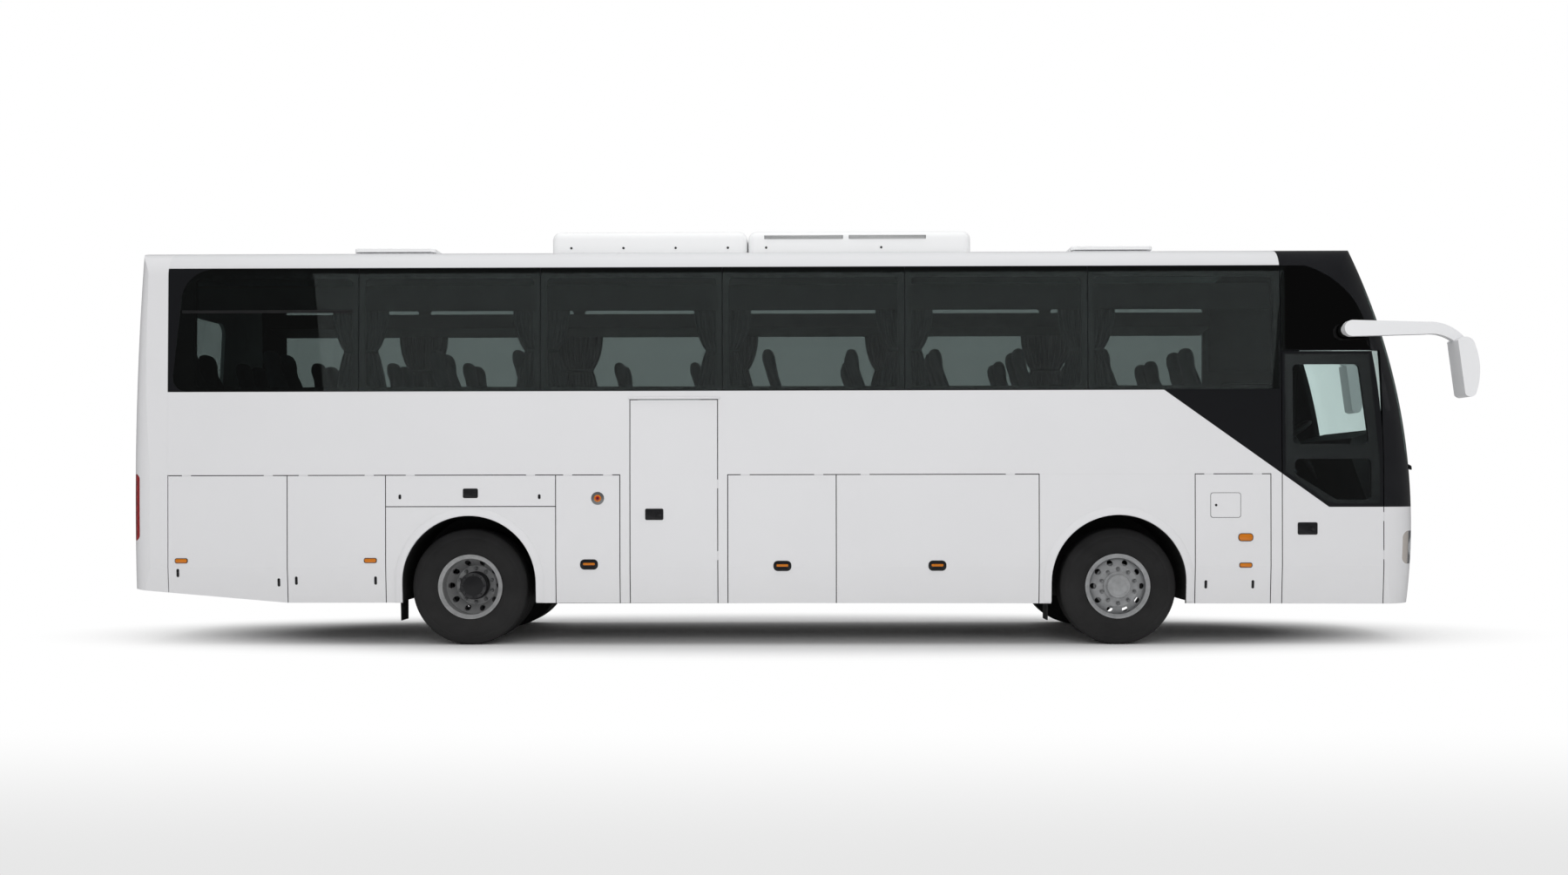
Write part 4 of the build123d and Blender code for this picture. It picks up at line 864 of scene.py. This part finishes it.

# Blank plates, and a dark screen behind the front grille as painted shade in its openings

ends = {
    "plate_front": ((5.7415, 0.0, 0.445), (0.009, 0.520, 0.110)),
    "plate_rear": ((-6.0095, 0.0, 0.820), (0.008, 0.520, 0.110)),
    # painted shade: a black sheet behind the front grille's openings
    "grille_shade_screen": ((5.600, 0.0, 0.600), (0.010, 1.240, 0.300)),
    "softness": 0.003,
}


def makeEnds():
    for name, body, finish, slotName in (("plate_front", "coach", mirrorWhite, "trim_plastic"),
                                         ("plate_rear", "engine_lid", mirrorWhite, "trim_plastic"),
                                         ("grille_shade_screen", "coach", linerBlack, "liner")):
        centre, size = ends[name]
        mesh = meshFrom(name, lambda shape: softBox(shape, centre, size, ends["softness"], 2))
        addObject(name, mesh, body, finish, 40)


makeEnds()
print("ends made")

# Roof cooler: two moulded covers with grilles and bolts

cooler = {
    "round": 0.075,
    "seamGap": 0.004,
    "grilles": ((878, 968), (975, 1063)),
    "bolts": (656, 716, 776, 836, 880, 1012),
    "slats": 4,
    "slatPitch": 0.0088,
}


def roundedCover(shape, low, high, radius):  # box with its top and upright edges rounded well
    verts = bmesh.ops.create_cube(shape, size=1.0)["verts"]
    bmesh.ops.scale(shape, vec=[b - a for a, b in zip(low, high)], verts=verts)
    bmesh.ops.translate(shape, vec=[(a + b) / 2 for a, b in zip(low, high)], verts=verts)
    foot = low[2] + 0.001
    edges = [edge for edge in {edge for vert in verts for edge in vert.link_edges}
             if max(vert.co.z for vert in edge.verts) > foot]
    bmesh.ops.bevel(shape, geom=edges, offset=radius, segments=8, profile=0.5, affect="EDGES")


def makeCooler():
    low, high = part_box("roof_air_conditioner")
    split = onSide(857, 280).x
    parts = (("rear", low[0], split - cooler["seamGap"]), ("front", split + cooler["seamGap"], high[0]))
    for name, start, end in parts:
        corners = (start, low[1], low[2]), (end, high[1], high[2])
        cover = meshFrom("cooler", lambda shape: roundedCover(shape, *corners, cooler["round"]))
        piece = addObject("cooler_cover_" + name, cover, "coach", podWhite, 50)
        if name == "rear":
            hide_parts("roof_air_conditioner")
    reach = low[1] - photo["place"][1]

    def overRoof(u):  # where a pixel of the photograph lies along the cooler's right side
        across = (u - photo["width"] / 2) / photo["focalPixels"] * reach
        return photo["place"][0] + across - photo["yaw"] * reach

    grilleHigh = high[2] - cooler["round"] * 0.55
    for index, (start, end) in enumerate(cooler["grilles"]):
        for label, y, out in (("right", low[1], -1), ("left", high[1], 1)):
            name = label + "_" + str(index + 1)
            centre = (overRoof(start) + overRoof(end)) / 2
            wide = overRoof(end) - overRoof(start)

            def buildGrille(shape):
                softBox(shape, (centre, y - out * 0.004, grilleHigh - 0.018), (wide, 0.012, 0.036), 0.003, 2)

            def buildSlats(shape):
                for slat in range(cooler["slats"]):
                    height = grilleHigh - 0.005 - slat * cooler["slatPitch"]
                    softBox(shape, (centre, y + out * 0.004, height), (wide - 0.010, 0.010, 0.0034), 0.001, 1)

            addObject("cooler_grille_" + name, meshFrom("grille", buildGrille), "coach", trimDark,
                      40)
            addObject("cooler_slats_" + name, meshFrom("slats", buildSlats), "coach", podWhite,
                      40)

    def buildBolts(shape):
        for u in cooler["bolts"]:
            for y, out in ((low[1], -1), (high[1], 1)):
                lathe(shape, [(0.011, y - out * 0.004), (0.011, y + out * 0.003), (0.006, y + out * 0.006),
                              (0.0005, y + out * 0.006)], (overRoof(u), low[2] + 0.045), 12)

    addObject("cooler_bolts", meshFrom("bolts", buildBolts), "coach", trimDark, 40)


makeCooler()
print("roof cooler made")

# Seats: padded cushions and backs on slim frames

seating = {
    "firstX": 3.943,
    "pitch": 0.760,
    "plane": 0.705,
    "rearEnd": -5.453,
    "stairRows": (-0.617, -1.377),
    "floor": 1.556,
    "apart": 0.440,
    "cabX": 4.793,
    "cabY": 0.620,
    "cabFloor": 1.150,
    "lean": 0.235,
    "fill": 0.85,
    # the back's rings, as height up the back, width and thickness
    "back": ((0.00, 0.30, 0.040), (0.02, 0.38, 0.085), (0.10, 0.415, 0.110), (0.22, 0.425, 0.120),
             (0.36, 0.420, 0.105), (0.50, 0.415, 0.098), (0.60, 0.400, 0.100), (0.66, 0.330, 0.095),
             (0.70, 0.300, 0.105), (0.76, 0.315, 0.120), (0.82, 0.300, 0.110), (0.86, 0.240, 0.080),
             (0.875, 0.140, 0.040)),
    # the cushion's rings, as place ahead of the post, width and thickness
    "cushion": ((-0.190, 0.30, 0.050), (-0.180, 0.38, 0.100), (-0.100, 0.415, 0.125), (0.05, 0.425, 0.130),
                (0.17, 0.420, 0.130), (0.225, 0.390, 0.105), (0.245, 0.32, 0.055)),
}


def padSection(shape, centre, wide, thick, tilt, points=22, power=2.6):
    ring = []
    for index in range(points):
        angle = 2 * math.pi * index / points
        c, s = math.cos(angle), math.sin(angle)
        y = wide / 2 * math.copysign(abs(c) ** (2 / power), c)
        t = thick / 2 * math.copysign(abs(s) ** (2 / power), s)
        ring.append(shape.verts.new((centre[0] + t * math.cos(tilt), centre[1] + y,
                                     centre[2] + t * math.sin(tilt))))
    return ring


def seatPads(shape, x, y, floorZ):
    lean, top = seating["lean"], seating["back"][-1][0]
    rings = []
    for up, wide, thick in seating["back"]:
        curve = 0.020 * math.sin(up / top * math.pi * 2)
        centre = (x - 0.160 - up * math.sin(lean) + curve, y, floorZ + 0.345 + up * math.cos(lean) * 0.90)
        rings.append(padSection(shape, centre, wide, thick, 0.0))
    joinRings(shape, rings)
    rings = []
    for ahead, wide, thick in seating["cushion"]:
        centre = (x + ahead, y, floorZ + 0.370 + 0.10 * (ahead + 0.19))
        rings.append(padSection(shape, centre, wide, thick, math.pi / 2))
    joinRings(shape, rings)


def seatFrame(shape, x, y, floorZ, count):
    span = count * seating["apart"] - 0.010
    softBox(shape, (x, y, floorZ + 0.150), (0.300, 0.050, 0.300), 0.008, 2)
    softBox(shape, (x, y, floorZ + 0.012), (0.360, 0.120, 0.022), 0.006, 2)
    softBox(shape, (x + 0.02, y, floorZ + 0.305), (0.380, span * 0.92, 0.030), 0.008, 2)
    for end in (-1, 1):
        armY = y + end * (span / 2 - 0.012)
        softBox(shape, (x - 0.06, armY, floorZ + 0.590), (0.280, 0.024, 0.036), 0.010, 2)
        softBox(shape, (x - 0.175, armY, floorZ + 0.450), (0.050, 0.020, 0.300), 0.008, 2)


def makeSeats():
    rowX = seating["firstX"]
    places = []
    while rowX >= seating["rearEnd"]:
        places.append((rowX, seating["plane"], seating["floor"], 2))
        if min(abs(rowX - skipped) for skipped in seating["stairRows"]) > 0.01:
            places.append((rowX, -seating["plane"], seating["floor"], 2))
        rowX -= seating["pitch"]
    places.append((seating["cabX"], seating["cabY"], seating["cabFloor"], 1))
    for index, (x, y, floorZ, count) in enumerate(places):

        def buildPads(shape):
            for seat in range(count):
                seatPads(shape, x, y + (seat - (count - 1) / 2) * seating["apart"], floorZ)

        label = str(index + 1)
        pads = addObject("seat_pads_" + label, meshFrom("seatPads", buildPads), "coach", seatCloth,
                         60)
        mesh = meshFrom("seatFrame", lambda shape: seatFrame(shape, x, y, floorZ, count))
        addObject("seat_frame_" + label, mesh, "coach", trimDark, 40)
        if index == 0:
            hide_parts("passenger_seats")
        if count == 1:
            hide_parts("driver_seat")


makeSeats()
print("seats made")

# Curtains, gathered on their rail and tied at the waist

curtains = {
    "edges": (4.347, 2.639, 1.009, -0.621, -2.251, -3.881),
    "plane": 1.170,
    "top": 3.022,
    "foot": 2.302,
    "waist": 2.640,
    "halfTop": 0.258,
    "halfWaist": 0.150,
    "halfFoot": 0.235,
    "pleats": 11,
    "cut": 0.760,
    "deepest": 0.0165,
    "rows": 44,
    "across": 132,
    "ease": 1.001,
}


def curtainHalf(z):
    c = curtains
    if z > c["waist"]:
        t = (z - c["waist"]) / (c["top"] - c["waist"])
        return c["halfWaist"] + (c["halfTop"] - c["halfWaist"]) * (1 - (1 - t) ** 2) ** 0.8
    t = (c["waist"] - z) / (c["waist"] - c["foot"])
    return c["halfWaist"] + (c["halfFoot"] - c["halfWaist"]) * t ** 0.7


def curtainRow(x, y, z, across):
    half = curtainHalf(z)
    low, high = 0.0, curtains["deepest"]
    for attempt in range(12):  # halve towards the pleat depth whose row is as long as the cut
        deep = (low + high) / 2
        row = []
        for step in range(across + 1):
            share = step / across
            wobble = math.sin(2 * math.pi * curtains["pleats"] * share + 0.5 * math.sin(9 * share + 3 * z))
            row.append(Vector((x - half + 2 * half * share, y + deep * wobble, z)))
        length = sum((b - a).length for a, b in zip(row, row[1:]))
        if length > curtains["cut"]:
            high = deep
        else:
            low = deep
    return row


def makeCurtains():
    rows, across, cutWide = curtains["rows"], curtains["across"], curtains["cut"]
    for index, edge in enumerate(curtains["edges"][1:]):
        for label, side in (("right", -1), ("left", 1)):
            name = str(index + 1) + "_" + label
            plane = side * curtains["plane"]

            def buildCloth(shape):
                grid = []
                for step in range(rows + 1):
                    z = curtains["foot"] + (curtains["top"] - curtains["foot"]) * step / rows
                    grid.append([shape.verts.new(point) for point in curtainRow(edge, plane, z, across)])
                for lower, upper in zip(grid, grid[1:]):
                    for k in range(across):
                        shape.faces.new((lower[k], lower[k + 1], upper[k + 1], upper[k]))

            def buildTie(shape):
                half = curtains["halfWaist"] + 0.004
                softBox(shape, (edge, plane, curtains["waist"]), (2 * half, 0.042, 0.034), 0.012, 3)

            cloth = addObject("curtain_" + name, meshFrom("curtain", buildCloth), "coach", curtainCloth,
                              80)
            if name == "1_right":
                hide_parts("window_curtains")
            addObject("curtain_tie_" + name, meshFrom("tie", buildTie), "coach", curtainCloth,
                      50)


makeCurtains()
print("curtains made")

# Floor, backdrop and light

studio = {
    "floorColor": (0.93, 0.93, 0.93),
    "skyStrength": 0.66,
    "mirrored": 0.09,        # how bright the room looks in a gloss finish
    "keyPower": 430.0,
    "fillPower": 400.0,
    "floorSize": 160.0,
    "fadeLength": 0.36,
    "fadeNear": 1.6,
    "fadeFar": 2.7,
    # painted shade: the glowing floor dims towards the camera to this share of white
    "frontShade": 0.80,
    "shadeStart": -6.0,
    "shadeEnd": -9.8,
}


def seenDirectly(tree):  # masks: what the camera sees straight or through glass, and what gloss mirrors
    rays = tree.nodes.new("ShaderNodeLightPath")
    direct = plus(tree, rays.outputs["Is Camera Ray"], rays.outputs["Is Transmission Ray"], True)
    mirrored = mathNode(tree, "MINIMUM", rays.outputs["Glossy Depth"], 1.0)
    return minus(tree, direct, mirrored, True), mirrored


def makeFloor():
    mesh = bpy.data.meshes.new("studioFloor")
    half = studio["floorSize"] / 2
    corners = [(-half, -half, 0), (half, -half, 0), (half, half, 0), (-half, half, 0)]
    mesh.from_pydata(corners, [], [(0, 1, 2, 3)])
    floor = bpy.data.objects.new("studioFloor", mesh)
    bpy.context.scene.collection.objects.link(floor)
    material = bpy.data.materials.new("studioFloor")
    material.use_nodes = True
    tree = material.node_tree
    shader = tree.nodes["Principled BSDF"]
    shader.inputs["Base Color"].default_value = studio["floorColor"] + (1.0,)
    shader.inputs["Roughness"].default_value = 0.9
    glow = tree.nodes.new("ShaderNodeEmission")
    mix = tree.nodes.new("ShaderNodeMixShader")
    axes = objectPlace(tree)[1]
    away = hypotenuse(tree, times(tree, axes[0], studio["fadeLength"]), axes[1])
    fade = mapRange(tree, away, studio["fadeNear"], studio["fadeFar"], 0.0, 1.0, True)
    wire(tree, times(tree, fade, seenDirectly(tree)[0]), mix.inputs[0])
    # painted shade: the floor's glow fades to grey towards the camera
    floorShade = mapRange(tree, axes[1], studio["shadeEnd"], studio["shadeStart"], studio["frontShade"], 1.0, True)
    wire(tree, floorShade, glow.inputs["Strength"])
    wire(tree, shader.outputs[0], mix.inputs[1])
    wire(tree, glow.outputs[0], mix.inputs[2])
    wire(tree, mix.outputs[0], tree.nodes["Material Output"].inputs[0])
    mesh.materials.append(material)


def makeWorld():
    world = bpy.data.worlds.new("studio")
    bpy.context.scene.world = world
    world.use_nodes = True
    tree = world.node_tree
    light = tree.nodes["Background"]
    light.inputs[0].default_value = (1, 1, 1, 1)
    seenWhite = tree.nodes.new("ShaderNodeBackground")
    seenWhite.inputs[0].default_value = (1, 1, 1, 1)
    seenWhite.inputs[1].default_value = 1.0
    mix = tree.nodes.new("ShaderNodeMixShader")
    seen, mirrored = seenDirectly(tree)
    dimmer = times(tree, mirrored, studio["mirrored"] - studio["skyStrength"])
    wire(tree, plus(tree, dimmer, studio["skyStrength"]), light.inputs[1])
    wire(tree, seen, mix.inputs[0])
    wire(tree, light.outputs[0], mix.inputs[1])
    wire(tree, seenWhite.outputs[0], mix.inputs[2])
    wire(tree, mix.outputs[0], tree.nodes["World Output"].inputs[0])


def addLamp(name, place, aim, size, power):  # soft boxes that no gloss finish mirrors
    data = bpy.data.lights.new(name, "AREA")
    data.shape = "RECTANGLE"
    data.size, data.size_y = size
    data.energy = power
    lamp = bpy.data.objects.new(name, data)
    lamp.location = place
    lamp.visible_glossy = False
    lamp.rotation_euler = (Vector(aim) - Vector(place)).to_track_quat("-Z", "Y").to_euler()
    bpy.context.scene.collection.objects.link(lamp)


makeFloor()
makeWorld()
addLamp("overhead", (0, 0, 9.5), (0, 0, 0), (16.0, 8.0), studio["keyPower"])
addLamp("sideFill", (0, -13, 5.5), (0, 0, 1.6), (16.0, 4.0), studio["fillPower"])
bpy.context.scene.view_settings.view_transform = "Standard"
print("studio ready")
